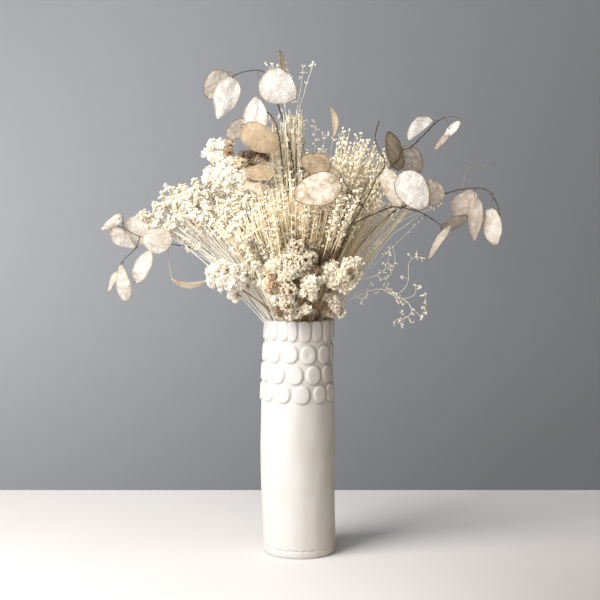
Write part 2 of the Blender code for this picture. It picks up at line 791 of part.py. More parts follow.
def add_bloom(place, way, spray):
    """One flower, its pointed root sunk in the stalk: a trumpet or a seed head."""
    size = spray.size * MM
    work = bmesh.new()
    if spray.flower == "trumpet":
        bmesh.ops.create_cone(work, cap_ends=True, segments=3, radius1=0, radius2=size * 0.95, depth=size * 1.9)
    else:
        bmesh.ops.create_uvsphere(work, u_segments=3, v_segments=2, radius=size * 0.8)
        bmesh.ops.scale(work, vec=(1, 1, 1.2), verts=work.verts)
    lifted = Matrix.Translation((0, 0, size * 0.95))
    spun = Matrix.Rotation(random.uniform(0, math.tau), 4, "Z")
    bmesh.ops.transform(work, matrix=Matrix.Translation(place) @ turned_to(way) @ lifted @ spun,
                        verts=work.verts)
    scratch_object(work, "bloom")


def side_flowers(line, spray):
    """(place, direction) for each flower below the one at the stalk's tip."""
    tip, before = line[-1], line[-2]
    along = (tip - before).normalized()
    length = (tip - line[0]).length * spray.dressed
    side = along.orthogonal().normalized()
    found = []
    for index in range(1, spray.flowers):
        turned = side.copy()
        turned.rotate(Matrix.Rotation(index * 2.4 + random.uniform(0, 1), 3, along))
        back = length * index / spray.flowers + spray.size * MM
        place = tip - along * min(back, (tip - before).length * 0.9)
        found.append((place, (along * FLOWER_LEAN + turned).normalized()))
    return found


def stalk_room(line, flowers, spray):
    """The capsules that a stalk and its flowers take."""
    size = spray.size * MM
    along = (line[-1] - line[-2]).normalized()
    room = capsules_along(line, STALK_RADIUS)
    room.append((line[-1] - along * size * 0.8, line[-1], size * 0.95))
    return room + [(place + way * size * 0.6, place + way * size * 1.3, size * 0.9) for place, way in flowers]


def add_stalk(line, flowers, spray, radii):
    """One stalk that swells into its tip's flower, with the flowers below it."""
    size = spray.size * MM
    along = (line[-1] - line[-2]).normalized()
    swell = [(1.6, 0.15), (0, 0.95)] if spray.flower == "trumpet" else [(1.7, 0.15), (0.7, 0.85), (0, 0.25)]
    ends = [line[-1] - along * size * back for back, _ in swell]
    tube([*line[:-1], *ends], [*radii, *[size * share for _, share in swell]])
    for place, way in flowers:
        add_bloom(place, way, spray)


def spray_tips(spray):
    """Where the stalks end: spread evenly over a disc across the spray's reach, on a rounded front."""
    reach = Vector(spray.reach)
    turned = turned_to(reach).to_3x3()
    golden = math.pi * (3 - math.sqrt(5))
    for index in range(spray.stalks):
        off = math.radians(spray.spread) * math.sqrt((index + 0.5) / spray.stalks)
        angle = index * golden
        way = turned @ Vector((math.sin(off) * math.cos(angle), math.sin(off) * math.sin(angle), math.cos(off)))
        yield way, reach.length * MM


def make_spray(spray, place):
    """One bunch in one node: a main stem and its branches. One that would cross another node is bent clear."""
    rim = Vector((0, 0, VASE_HEIGHT))
    trunk = rooted(place, [])
    tube(trunk, [TRUNK_RADIUS] * len(trunk))
    capsules = capsules_along(trunk, TRUNK_RADIUS)
    main_stem = None
    for index, (way, length) in enumerate(spray_tips(spray)):
        share = FIRST_BRANCH + (LAST_BRANCH - FIRST_BRANCH) * index / spray.stalks
        for attempt in range(MOST_TRIES):
            loose = SHAKE + SHAKE_STEP * attempt
            shaken = way + Vector([random.uniform(-loose, loose) for _ in range(3)])
            tip = rim + shaken.normalized() * length * random.uniform(SHORTEST_SHARE, 1.0)
            line = [point_along(main_stem, share), tip] if main_stem else bent(trunk[-1] - RISE_START, tip)
            flowers = side_flowers(line, spray)
            room = stalk_room(line, flowers, spray)
            if ROOM.fits(spray.name, room):
                add_stalk(line, flowers, spray, [STALK_RADIUS] if main_stem else MAIN_STEM_RADII)
                main_stem = main_stem or line
                capsules += room
                break
        else:
            print(spray.name, "left out branch", index)
    ROOM.take(spray.name, capsules)
    kind = spray.name.split("_")[0]
    joined(spray.name, kind if kind in COLOURS else "straw")


def point_along(line, share):
    """The point at this share of the line's length."""
    lengths = [(b - a).length for a, b in zip(line, line[1:])]
    left = share * sum(lengths)
    for a, b, length in zip(line, line[1:], lengths):
        if left <= length:
            return a + (b - a) * (left / length)
        left -= length
    return line[-1]


def make_wisp(wisp, place):
    """One drooping stem with its beaded side twigs."""
    route = rooted(place, [mm(*point) for point in wisp.route])
    tube(route, thinning(len(route), WISP_RADIUS * 1.5, WISP_RADIUS))
    capsules = capsules_along(route, WISP_RADIUS * 1.5)
    beads = Spray(wisp.name, (0, 0, 1), 0, 0, "bead", 0.3, 2, WISP_BEAD / MM)
    for point in wisp.tips:
        tip = mm(*point)
        root = nearest_on(route[3:], tip)
        line = [root, tip]
        flowers = side_flowers(line, beads) if (tip - root).length > WISP_FORKED else []
        add_stalk(line, flowers, beads, [WISP_RADIUS])
        capsules += stalk_room(line, flowers, beads)
    ROOM.take(wisp.name, capsules)
    joined(wisp.name, "wisp")


def main():
    """Builds the vase, then what keeps its place, then the sprays that find room round it."""
    clear_scene()
    make_vase()
    drawn = HONESTY + YARROWS + WISPS
    neck = Vector((0, 0, 260))
    reaches = [Vector(branch.route[0]) - neck for branch in HONESTY]
    reaches += [Vector(yarrow.fork) - neck for yarrow in YARROWS]
    reaches += [Vector(wisp.route[0]) - neck for wisp in WISPS]
    reaches += [Vector(spray.reach) for spray in SPRAYS]
    places = spread_places([wanted_place(reach) for reach in reaches])
    for stem, place in zip(drawn, places):
        if isinstance(stem, Honesty):
            make_honesty(stem, place)
        elif isinstance(stem, Yarrow):
            make_yarrow(stem, place)
        else:
            make_wisp(stem, place)
    trunks = list(zip(SPRAYS, places[len(drawn):]))
    for spray, place in trunks:
        ROOM.take(spray.name, capsules_along(rooted(place, []), TRUNK_RADIUS))
    for spray, place in trunks:
        make_spray(spray, place)
    profile = bpy.data.objects.get("stalk_profile")
    if profile:
        bpy.data.objects.remove(profile)


main()
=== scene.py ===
"""Dried flowers in a tall ceramic vase, dressed as they look.

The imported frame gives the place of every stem, and the classes below grow the finer discs, flowers and
stalks over it. Places are millimetres, and MM turns them into metres. +Z is up and the front faces -Y.
"""

from __future__ import annotations

import logging
import math
from dataclasses import dataclass, replace
from enum import Enum
from typing import Any, Sequence, Union

import bpy
import numpy as np
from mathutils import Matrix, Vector

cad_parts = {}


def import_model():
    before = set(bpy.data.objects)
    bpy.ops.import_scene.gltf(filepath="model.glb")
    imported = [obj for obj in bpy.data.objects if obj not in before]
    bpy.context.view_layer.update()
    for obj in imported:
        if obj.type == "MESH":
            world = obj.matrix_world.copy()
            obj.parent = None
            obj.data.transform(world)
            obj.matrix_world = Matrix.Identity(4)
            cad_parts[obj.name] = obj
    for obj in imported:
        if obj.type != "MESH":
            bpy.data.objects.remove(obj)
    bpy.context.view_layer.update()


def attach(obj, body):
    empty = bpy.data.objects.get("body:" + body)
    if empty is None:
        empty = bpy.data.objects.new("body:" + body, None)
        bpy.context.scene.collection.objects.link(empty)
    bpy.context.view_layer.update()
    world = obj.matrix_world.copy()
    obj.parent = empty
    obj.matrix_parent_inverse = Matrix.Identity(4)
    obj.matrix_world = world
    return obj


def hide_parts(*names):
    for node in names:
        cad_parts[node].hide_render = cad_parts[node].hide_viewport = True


MM = 0.001
BODY = "root"
TONE = "tone"
EDGE = "edge"
SEED = "seed"
GOLDEN_TURN = math.pi * (3 - math.sqrt(5))
FOOT_SHARE = 0.62
FORK_HEIGHT = 258 * MM
STEM_FOOT = 8.4 * MM
CUP_KINDS = 6
FLORET_KINDS = 8

Array = np.ndarray
Rng = np.random.Generator
Socket = bpy.types.NodeSocket
Material = bpy.types.Material
Piece = bpy.types.Object
Colour = tuple[float, float, float]
Point = tuple[float, float, float]
Number = Union["Value", float]

log = logging.getLogger("dried_flowers")


# Shader writing


class Value:
    """A number inside a material: arithmetic on it adds Math nodes to the tree."""

    def __init__(self, tree: Tree, socket: Socket) -> None:
        """Keeps the tree and the socket that gives the number."""
        self.tree = tree
        self.socket = socket

    def _math(self, operation: str, first: Number, second: Number) -> Value:
        """The result of one Math node on two numbers."""
        node = self.tree.node("ShaderNodeMath", {"operation": operation}, {0: first, 1: second})
        return Value(self.tree, node.outputs[0])

    def __add__(self, other: Number) -> Value:
        """self + other."""
        return self._math("ADD", self, other)

    def __sub__(self, other: Number) -> Value:
        """self - other."""
        return self._math("SUBTRACT", self, other)

    def __rsub__(self, other: Number) -> Value:
        """other - self."""
        return self._math("SUBTRACT", other, self)

    def __mul__(self, other: Number) -> Value:
        """self * other."""
        return self._math("MULTIPLY", self, other)

    __radd__, __rmul__ = __add__, __mul__

    def __pow__(self, other: Number) -> Value:
        """self to the power of other."""
        return self._math("POWER", self, other)

    def size(self) -> Value:
        """The number without its sign."""
        return self._math("ABSOLUTE", self, 0.0)

    def eased(self, low: float, high: float) -> Value:
        """0 below low, 1 above high, and a smooth step between.

        Args:
            low: where the step starts.
            high: where it ends.

        Returns:
            The eased number.
        """
        settings = {"interpolation_type": "SMOOTHSTEP"}
        node = self.tree.node("ShaderNodeMapRange", settings, {0: self, 1: low, 2: high})
        return Value(self.tree, node.outputs[0])


class Tree:
    """The node tree of one new material."""

    def __init__(self, name: str) -> None:
        """Makes the material with an empty tree."""
        self.material = bpy.data.materials.new(name)
        self.material.use_nodes = True
        self.tree = self.material.node_tree
        self.tree.nodes.clear()

    def node(
        self, kind: str, settings: dict[str, Any] | None = None, inputs: dict[int | str, Any] | None = None
    ) -> bpy.types.Node:
        """Adds one node.

        Args:
            kind: the node's type name.
            settings: what is set on the node itself, first. A ramp's "stops" are (place, colour) pairs.
            inputs: a number, a colour, a Value or an output for each named or numbered socket.

        Returns:
            The node.
        """
        made = self.tree.nodes.new(kind)
        for name, value in (settings or {}).items():
            if name == "stops":
                self._set_stops(made.color_ramp, value)
            else:
                setattr(made, name, value)
        for key, value in (inputs or {}).items():
            if isinstance(value, Value):
                self.tree.links.new(value.socket, made.inputs[key])
            elif isinstance(value, Socket):
                self.tree.links.new(value, made.inputs[key])
            else:
                made.inputs[key].default_value = value
        return made

    @staticmethod
    def _set_stops(ramp: bpy.types.ColorRamp, stops: Sequence[tuple[float, Colour]]) -> None:
        """Gives the ramp these stops."""
        while len(ramp.elements) < len(stops):
            ramp.elements.new(1.0)
        for element, (place, colour) in zip(ramp.elements, stops):
            element.position = place
            element.color = (*colour, 1)

    def place(self) -> Socket:
        """The position on the part, in metres."""
        return self.node("ShaderNodeTexCoord").outputs["Object"]

    def stretched(self, scale: Point) -> Socket:
        """The position, scaled along each axis."""
        return self.node("ShaderNodeMapping", None, {"Vector": self.place(), "Scale": scale}).outputs[0]

    def along(self, axis: str) -> Value:
        """The position along X, Y or Z, in metres."""
        node = self.node("ShaderNodeSeparateXYZ", None, {0: self.place()})
        return Value(self, node.outputs[axis])

    def attribute(self, name: str) -> Value:
        """The number that the mesh holds at each point under this name."""
        node = self.node("ShaderNodeAttribute", {"attribute_name": name})
        return Value(self, node.outputs["Fac"])

    def noise(
        self, scale: float, detail: float = 2.0, twist: float = 0.0, vector: Socket | None = None
    ) -> Value:
        """Cloudy noise from 0 to 1.

        Args:
            scale: how many clouds there are to the metre.
            detail: how many finer layers it has.
            twist: how much it is distorted.
            vector: where it is read, or the position if None.

        Returns:
            The noise.
        """
        inputs = {"Vector": vector or self.place(), "Scale": scale, "Detail": detail, "Distortion": twist}
        return Value(self, self.node("ShaderNodeTexNoise", None, inputs).outputs[0])

    def cells(self, scale: float) -> Value:
        """A net of cells: the distance to the nearest of their borders."""
        inputs = {"Vector": self.place(), "Scale": scale}
        node = self.node("ShaderNodeTexVoronoi", {"feature": "DISTANCE_TO_EDGE"}, inputs)
        return Value(self, node.outputs["Distance"])

    def mixed(self, share: Number, first: Any, second: Any) -> Socket:
        """A colour between two.

        Args:
            share: how much of the second colour there is.
            first: a colour or an output.
            second: a colour or an output.

        Returns:
            The colour's output.
        """
        colours = [(*item, 1) if isinstance(item, tuple) else item for item in (first, second)]
        settings = {"data_type": "RGBA", "blend_type": "MIX", "clamp_factor": True}
        return self.node("ShaderNodeMix", settings, {0: share, 6: colours[0], 7: colours[1]}).outputs[2]

    def bump(self, height: Value, strength: float, distance: float) -> Socket:
        """A normal that shows this height, with its full depth in metres."""
        inputs = {"Height": height, "Strength": strength, "Distance": distance}
        return self.node("ShaderNodeBump", None, inputs).outputs[0]

    def surface(
        self, colour: Socket, roughness: Value, gloss: float, normal: Socket,
        glow: Colour | None = None, glow_share: float = 0.0, alpha: Value | None = None,
    ) -> Material:
        """Ends the tree with one surface, and gives the material.

        Args:
            colour: its colour.
            roughness: how rough it is.
            gloss: how strongly it mirrors.
            normal: its relief.
            glow: the colour of the light that comes through from behind, or None.
            glow_share: how much of that light there is.
            alpha: how solid it is, or None where it is all solid.

        Returns:
            The material.
        """
        inputs = {"Base Color": colour, "Roughness": roughness, "Specular IOR Level": gloss}
        inputs["Normal"] = normal
        if alpha:
            inputs["Alpha"] = alpha
        shader = self.node("ShaderNodeBsdfPrincipled", None, inputs).outputs[0]
        if glow:
            through = self.node("ShaderNodeBsdfTranslucent", None, {"Color": (*glow, 1)}).outputs[0]
            mix = {0: glow_share, 1: shader, 2: through}
            shader = self.node("ShaderNodeMixShader", None, mix).outputs[0]
        self.node("ShaderNodeOutputMaterial", None, {"Surface": shader})
        return self.material


# Finishes


@dataclass(frozen=True)
class Finish:
    """What every finish has: a name, and a material that is made once."""

    name: str

    def material(self) -> Material:
        """The material of this finish."""
        return bpy.data.materials.get(self.name) or self.build(Tree(self.name))

    def build(self, tree: Tree) -> Material:
        """Fills the tree. Each kind of finish has its own."""
        raise NotImplementedError


@dataclass(frozen=True)
class Ceramic(Finish):
    """Matt white stoneware with soft drag marks down the wall and a sandy grain, with shade painted into
    its colour: warmer and darker on its right side, and darker in the grooves round its pads.
    """

    clay: Colour = (0.49, 0.479, 0.462)
    # worn colour of the drag marks and specks, also laid more heavily on the right side as painted shade
    worn_and_shade: Colour = (0.43, 0.365, 0.285)
    # painted shade: the warmer colour of the vase's shaded right side
    painted_warm_shade: Colour = (0.54, 0.485, 0.41)
    # painted shade in the grooves round the pads
    painted_groove_shade: Colour = (0.27, 0.235, 0.20)
    streak_share: float = 0.75
    speck_share: float = 0.35
    drag_pace: Point = (75.0, 75.0, 7.0)
    cloud_pace: float = 28.0
    grain_pace: float = 850.0
    speck_pace: float = 1500.0
    grain_depth: float = 0.22 * MM

    def build(self, tree: Tree) -> Material:
        """Fills the tree."""
        drag = tree.noise(1.0, 4.0, 0.6, tree.stretched(self.drag_pace))
        clouds = tree.noise(self.cloud_pace, 3.0)
        # side is 0 on the lit left of the vase and 1 on its shaded right, for painted shade
        side = tree.along("X").eased(-0.02, 0.045)
        # the drag marks are real wear, made stronger on the shaded right as painted shade
        share = (drag * clouds).eased(0.20, 0.48) * (0.35 + side * 0.65)
        colour = tree.mixed(side * 0.85, self.clay, self.painted_warm_shade)
        colour = tree.mixed(share * self.streak_share, colour, self.worn_and_shade)
        # painted shade in the grooves round the pads, darker on the right
        colour = tree.mixed(tree.attribute(TONE) * (0.16 + side * 0.44), colour, self.painted_groove_shade)
        grain = tree.noise(self.grain_pace)
        specks = tree.noise(self.speck_pace, 1.0)
        colour = tree.mixed(specks.eased(0.70, 0.78) * self.speck_share, colour, self.worn_and_shade)
        height = grain * 0.4 + drag * 1.6 + clouds * 0.8
        return tree.surface(colour, 0.56 + grain * 0.3, 0.35, tree.bump(height, 0.5, self.grain_depth))


@dataclass(frozen=True)
class Paper(Finish):
    """The papery skin of a seed disc: blotched, netted with fine veins, and darker towards its edge."""

    sheet: Colour
    blotch: Colour
    vein: Colour
    blotch_share: float
    vein_share: float
    edge_share: float
    film: float = 1.0
    glow: Colour = (0.85, 0.74, 0.58)
    glow_share: float = 0.3
    relief: float = 0.6 * MM
    cloud_pace: float = 85.0
    fold_pace: float = 190.0
    vein_pace: float = 330.0
    crease_pace: float = 48.0

    def build(self, tree: Tree) -> Material:
        """Fills the tree."""
        clouds = tree.noise(self.cloud_pace, 4.0, 1.2)
        folds = tree.noise(self.fold_pace, 3.0, 2.5)
        net = 1 - tree.cells(self.vein_pace).eased(0.0, 0.09)
        crease = 1 - ((tree.noise(self.crease_pace, 2.5, 1.8) - 0.5).size() * 16).eased(0.0, 1.0)
        edge = tree.attribute(EDGE)
        colour = tree.mixed(clouds.eased(0.50, 0.66) * self.blotch_share, self.sheet, self.blotch)
        colour = tree.mixed(folds.eased(0.56, 0.70) * self.blotch_share * 0.6, colour, self.blotch)
        colour = tree.mixed(net * self.vein_share * folds, colour, self.vein)
        colour = tree.mixed(crease * self.vein_share * 0.7, colour, self.vein)
        colour = tree.mixed((edge ** 6) * self.edge_share, colour, self.vein)
        colour = tree.mixed(tree.attribute(SEED) * 0.8, colour, self.vein)
        height = folds * 1.0 + net * 0.25 + clouds * 0.8 + crease * 0.8
        alpha = self.film + (edge ** 4) * (1 - self.film) + net * 0.06 if self.film < 1 else None
        normal = tree.bump(height, 0.45, self.relief)
        return tree.surface(colour, 0.40 + clouds * 0.22, 0.45, normal, self.glow, self.glow_share, alpha)


@dataclass(frozen=True)
class Petal(Finish):
    """Dry petals, husks and fine stalks, from pale to deep as their tone says, with a few brown flecks."""

    pale: Colour
    deep: Colour
    fleck: Colour
    fleck_share: float
    glow: Colour = (0.99, 0.955, 0.86)
    glow_share: float = 0.48
    roughness: float = 0.75
    relief: float = 0.3 * MM
    cloud_pace: float = 140.0
    grain_pace: float = 1300.0
    fleck_pace: float = 430.0

    def build(self, tree: Tree) -> Material:
        """Fills the tree."""
        tone = tree.attribute(TONE)
        clouds, grain = tree.noise(self.cloud_pace), tree.noise(self.grain_pace)
        shade = tone + (clouds - 0.5) * 0.5 + (grain - 0.5) * 0.3
        colour = tree.mixed(shade.eased(0.0, 0.9), self.pale, self.deep)
        flecks = tree.noise(self.fleck_pace, 1.0).eased(0.62, 0.72) * self.fleck_share
        colour = tree.mixed(flecks + tone.eased(0.62, 1.1), colour, self.fleck)
        roughness, normal = self.roughness + (grain - 0.5) * 0.2, tree.bump(grain, 0.4, self.relief)
        return tree.surface(colour, roughness, 0.25, normal, self.glow, self.glow_share)


@dataclass(frozen=True)
class Bark(Finish):
    """Woody twigs and the hard rims of the seed discs, from tan to dark brown as their tone says."""

    tan: Colour
    dark: Colour
    grey: Colour
    relief: float = 0.4 * MM
    grain_pace: float = 900.0
    patch_pace: float = 160.0

    def build(self, tree: Tree) -> Material:
        """Fills the tree."""
        grain, patches = tree.noise(self.grain_pace, 3.0), tree.noise(self.patch_pace)
        shade = tree.attribute(TONE) + (grain - 0.5) * 0.5
        colour = tree.mixed(shade.eased(0.0, 1.0), self.tan, self.dark)
        colour = tree.mixed(patches.eased(0.52, 0.75) * 0.45, colour, self.grey)
        return tree.surface(colour, 0.55 + grain * 0.3, 0.3, tree.bump(grain, 0.5, self.relief))


@dataclass(frozen=True)
class Tabletop(Finish):
    """A matt white table, with a painted shadow on its front right and painted light on its back right."""

    paint: Colour = (0.61, 0.592, 0.585)
    scuffed: Colour = (0.60, 0.578, 0.568)
    # painted shadow of the front right
    painted_shadow: Colour = (0.375, 0.35, 0.337)
    # painted light of the back right
    painted_light: Colour = (0.76, 0.735, 0.72)
    relief: float = 0.2 * MM
    cloud_pace: float = 5.0
    grain_pace: float = 420.0

    def build(self, tree: Tree) -> Material:
        """Fills the tree."""
        clouds, grain = tree.noise(self.cloud_pace, 4.0), tree.noise(self.grain_pace)
        # painted shadow: darker to the right and towards the front
        shadow_share = tree.along("X").eased(0.0, 0.36) * (1 - tree.along("Y").eased(-0.35, 0.2))
        # painted light: lighter to the right and towards the back
        lit_share = tree.along("X").eased(0.03, 0.3) * tree.along("Y").eased(0.04, 0.26)
        colour = tree.mixed(clouds.eased(0.35, 0.7), self.paint, self.scuffed)
        colour = tree.mixed(shadow_share, tree.mixed(lit_share, colour, self.painted_light), self.painted_shadow)
        return tree.surface(colour, 0.6 + grain * 0.2, 0.3, tree.bump(grain, 0.15, self.relief))


@dataclass(frozen=True)
class Backcloth(Finish):
    """Plain grey-blue cloth behind the table, with a faint weave, and light and shade painted into its
    colour: lighter on the left, darker to the right, at the top left and towards the bottom.
    """

    # painted light and shade: near is the lit colour on the left, far the shaded colour
    near: Colour = (0.374, 0.384, 0.41)
    far: Colour = (0.219, 0.224, 0.237)
    along_thread: float = 6.0
    across_thread: float = 420.0
    relief: float = 1 * MM

    def build(self, tree: Tree) -> Material:
        """Fills the tree."""
        slow, quick = self.along_thread, self.across_thread
        weft = tree.noise(1.0, vector=tree.stretched((slow, slow, quick)))
        warp = tree.noise(1.0, vector=tree.stretched((quick, slow, slow)))
        weave = (weft + warp) * 0.5
        # painted light and shade: darker to the right, less so high up, darker at the top left and towards
        # the bottom
        high = tree.along("Z").eased(0.2, 1.2)
        shaded_corner = high * (1 - tree.along("X").eased(-1.3, -0.2))
        share = tree.along("X").eased(-1.5, 1.45) * (1 - high * 0.22)
        share = share + shaded_corner * 0.36 + (weave - 0.5) * 0.12
        low = 1 - tree.along("Z").eased(-0.75, 0.15)
        colour = tree.mixed(share + low * 0.32, self.near, self.far)
        return tree.surface(colour, 0.8 + weave * 0.1, 0.1, tree.bump(weave, 0.2, self.relief))


class PodLook(Enum):
    """The papers that the seed discs show."""

    WHITE = Paper(
        "paper white", (0.73, 0.712, 0.685), (0.55, 0.485, 0.42), (0.33, 0.27, 0.22), 0.6, 0.55, 0.35
    )
    CREAM = Paper("paper cream", (0.74, 0.69, 0.60), (0.50, 0.37, 0.23), (0.26, 0.17, 0.10), 0.9, 0.5, 0.4)
    PEARL = Paper(
        "paper pearl", (0.66, 0.62, 0.545), (0.52, 0.44, 0.33), (0.30, 0.235, 0.165), 0.8, 0.6, 0.4, 0.94
    )
    OPAL = Paper(
        "paper opal", (0.575, 0.555, 0.515), (0.455, 0.40, 0.33), (0.27, 0.21, 0.15), 0.9, 0.75, 0.45, 0.93,
        (0.80, 0.74, 0.64), 0.22,
    )
    TAN = Paper("paper tan", (0.47, 0.36, 0.23), (0.34, 0.23, 0.13), (0.20, 0.13, 0.065), 0.7, 0.5, 0.45)
    BROWN = Paper(
        "paper brown", (0.42, 0.32, 0.22), (0.28, 0.20, 0.12), (0.16, 0.11, 0.06), 0.7, 0.5, 0.5, 0.94,
        (0.5, 0.38, 0.26), 0.25,
    )
    TAUPE = Paper(
        "paper taupe", (0.45, 0.385, 0.32), (0.33, 0.265, 0.21), (0.20, 0.15, 0.11), 0.7, 0.5, 0.5, 0.90,
        (0.5, 0.43, 0.36), 0.25,
    )
    GREY = Paper(
        "paper grey", (0.36, 0.315, 0.265), (0.23, 0.17, 0.12), (0.14, 0.10, 0.06), 0.8, 0.6, 0.6, 0.76,
        (0.5, 0.43, 0.35), 0.25,
    )
    DARK = Paper(
        "paper olive", (0.36, 0.29, 0.205), (0.25, 0.19, 0.125), (0.12, 0.085, 0.05), 0.6, 0.5, 0.6, 0.95,
        (0.42, 0.34, 0.22), 0.2,
    )


CERAMIC = Ceramic("white stoneware")
TWIG = Bark("twig bark", (0.29, 0.21, 0.145), (0.03, 0.019, 0.012), (0.125, 0.10, 0.08))
RIM = Bark("disc rim", (0.55, 0.44, 0.31), (0.10, 0.07, 0.04), (0.36, 0.31, 0.25))
STEM = Bark("yarrow stem", (0.46, 0.30, 0.17), (0.11, 0.055, 0.03), (0.30, 0.20, 0.13))
WHITE_STALK = Petal("bleached stalk", (0.985, 0.97, 0.93), (0.93, 0.86, 0.73), (0.30, 0.2, 0.1), 0.12)
GOLD_STALK = Petal("golden stalk", (0.99, 0.925, 0.745), (0.93, 0.72, 0.42), (0.36, 0.22, 0.10), 0.25)
STATICE_BLOOM = Petal("statice bloom", (0.995, 0.98, 0.93), (0.90, 0.74, 0.49), (0.36, 0.20, 0.10), 0.35)
CREAM_BEAD = Petal("broom bead", (0.99, 0.97, 0.90), (0.93, 0.81, 0.58), (0.36, 0.22, 0.11), 0.25)
STRAW_HUSK = Petal("straw husk", (0.99, 0.955, 0.855), (0.93, 0.77, 0.51), (0.40, 0.25, 0.12), 0.3)
FLAX_STALK = Petal("flax stalk", (0.82, 0.80, 0.74), (0.62, 0.56, 0.46), (0.25, 0.2, 0.14), 0.2)
YARROW_BLOOM = Petal("yarrow floret", (0.99, 0.955, 0.855), (0.84, 0.65, 0.40), (0.20, 0.09, 0.04), 0.4)
BROWN_BLOOM = Petal("brown crest", (0.60, 0.42, 0.24), (0.22, 0.11, 0.055), (0.06, 0.03, 0.015), 0.3)
CREAM_BLOOM = Petal("cream floret", (0.995, 0.958, 0.855), (0.90, 0.71, 0.44), (0.30, 0.15, 0.07), 0.3)
# brown of crowded branchlets, also put in the heads as painted shade between the florets
CORE_BROWN_AND_SHADE = Bark("head core brown and shade", (0.36, 0.205, 0.105), (0.10, 0.042, 0.018), (0.26, 0.15, 0.075))
DRY_LEAF = Petal("dry leaf", (0.66, 0.53, 0.37), (0.46, 0.34, 0.20), (0.26, 0.17, 0.09), 0.4)
ROSY_LEAF = Petal("rosy leaf", (0.90, 0.78, 0.64), (0.74, 0.56, 0.40), (0.45, 0.30, 0.19), 0.4)


# Meshes


def unit(vectors: Array) -> Array:
    """The vectors at length one."""
    return vectors / np.maximum(np.linalg.norm(vectors, axis=-1, keepdims=True), 1e-12)


def eased(share: Array) -> Array:
    """0 to 1 with level ends."""
    share = np.clip(share, 0.0, 1.0)
    return share * share * (3 - 2 * share)


def smoothed(route: Array, step: float) -> Array:
    """A smooth curve through the points of a route.

    Args:
        route: the points.
        step: about how far apart the curve's points are.

    Returns:
        The curve's points.
    """
    points = np.vstack([2 * route[:1] - route[1:2], route, 2 * route[-1:] - route[-2:-1]])
    pieces = []
    for a, b, c, d in zip(points, points[1:], points[2:], points[3:]):
        count = max(2, int(np.linalg.norm(c - b) / step))
        t = np.arange(count)[:, None] / count
        turn = (2 * a - 5 * b + 4 * c - d) * t ** 2 + (3 * b - a - 3 * c + d) * t ** 3
        pieces.append(0.5 * (2 * b + (c - a) * t + turn))
    return np.vstack([*pieces, route[-1:]])


def facing(ways: Array, rolls: Array) -> Array:
    """Rotations that take +Z to each direction, rolled about it.

    Args:
        ways: the directions, one to a row.
        rolls: the angle of each roll.

    Returns:
        One 3 by 3 matrix for each.
    """
    ways = unit(ways)
    helper = np.where(np.abs(ways[:, 2:]) < 0.9, [[0.0, 0.0, 1.0]], [[1.0, 0.0, 0.0]])
    side = unit(np.cross(helper, ways))
    other = np.cross(ways, side)
    cos, sin = np.cos(rolls)[:, None], np.sin(rolls)[:, None]
    return np.stack([side * cos + other * sin, other * cos - side * sin, ways], axis=2)


def spun(reach: Any, turns: Array, rise: Any) -> Array:
    """Points round +Z, from how far out each is, its angle and its height."""
    return np.stack(np.broadcast_arrays(reach * np.cos(turns), reach * np.sin(turns), rise), -1)


def scattered(count: int, rng: Rng) -> Array:
    """Directions spread evenly all round, each a little off its place.

    Args:
        count: how many.
        rng: gives each its shift.

    Returns:
        One direction to a row.
    """
    index = np.arange(count) + 0.5
    high = 1 - 2 * index / count
    even = spun(np.sqrt(1 - high ** 2), index * GOLDEN_TURN, high)
    return unit(even + rng.normal(0, 0.12, (count, 3)))


def arcs(starts: Array, bends: Array, ends: Array, shares: Array) -> Array:
    """Points along arcs that leave each start towards its bend and end as if they came from there.

    Args:
        starts: where the arcs start, one to a row.
        bends: what they bend towards.
        ends: where they end.
        shares: how far along the points are, from 0 to 1: one row for all arcs, or one for each.

    Returns:
        The points of each arc.
    """
    t = np.atleast_2d(shares)[:, :, None]
    return starts[:, None] * (1 - t) ** 2 + bends[:, None] * 2 * t * (1 - t) + ends[:, None] * t ** 2


@dataclass(frozen=True)
class Shape:
    """A small form that is repeated: its points, its triangles and how much deeper each point's tone is."""

    points: Array
    triangles: Array
    shade: Array


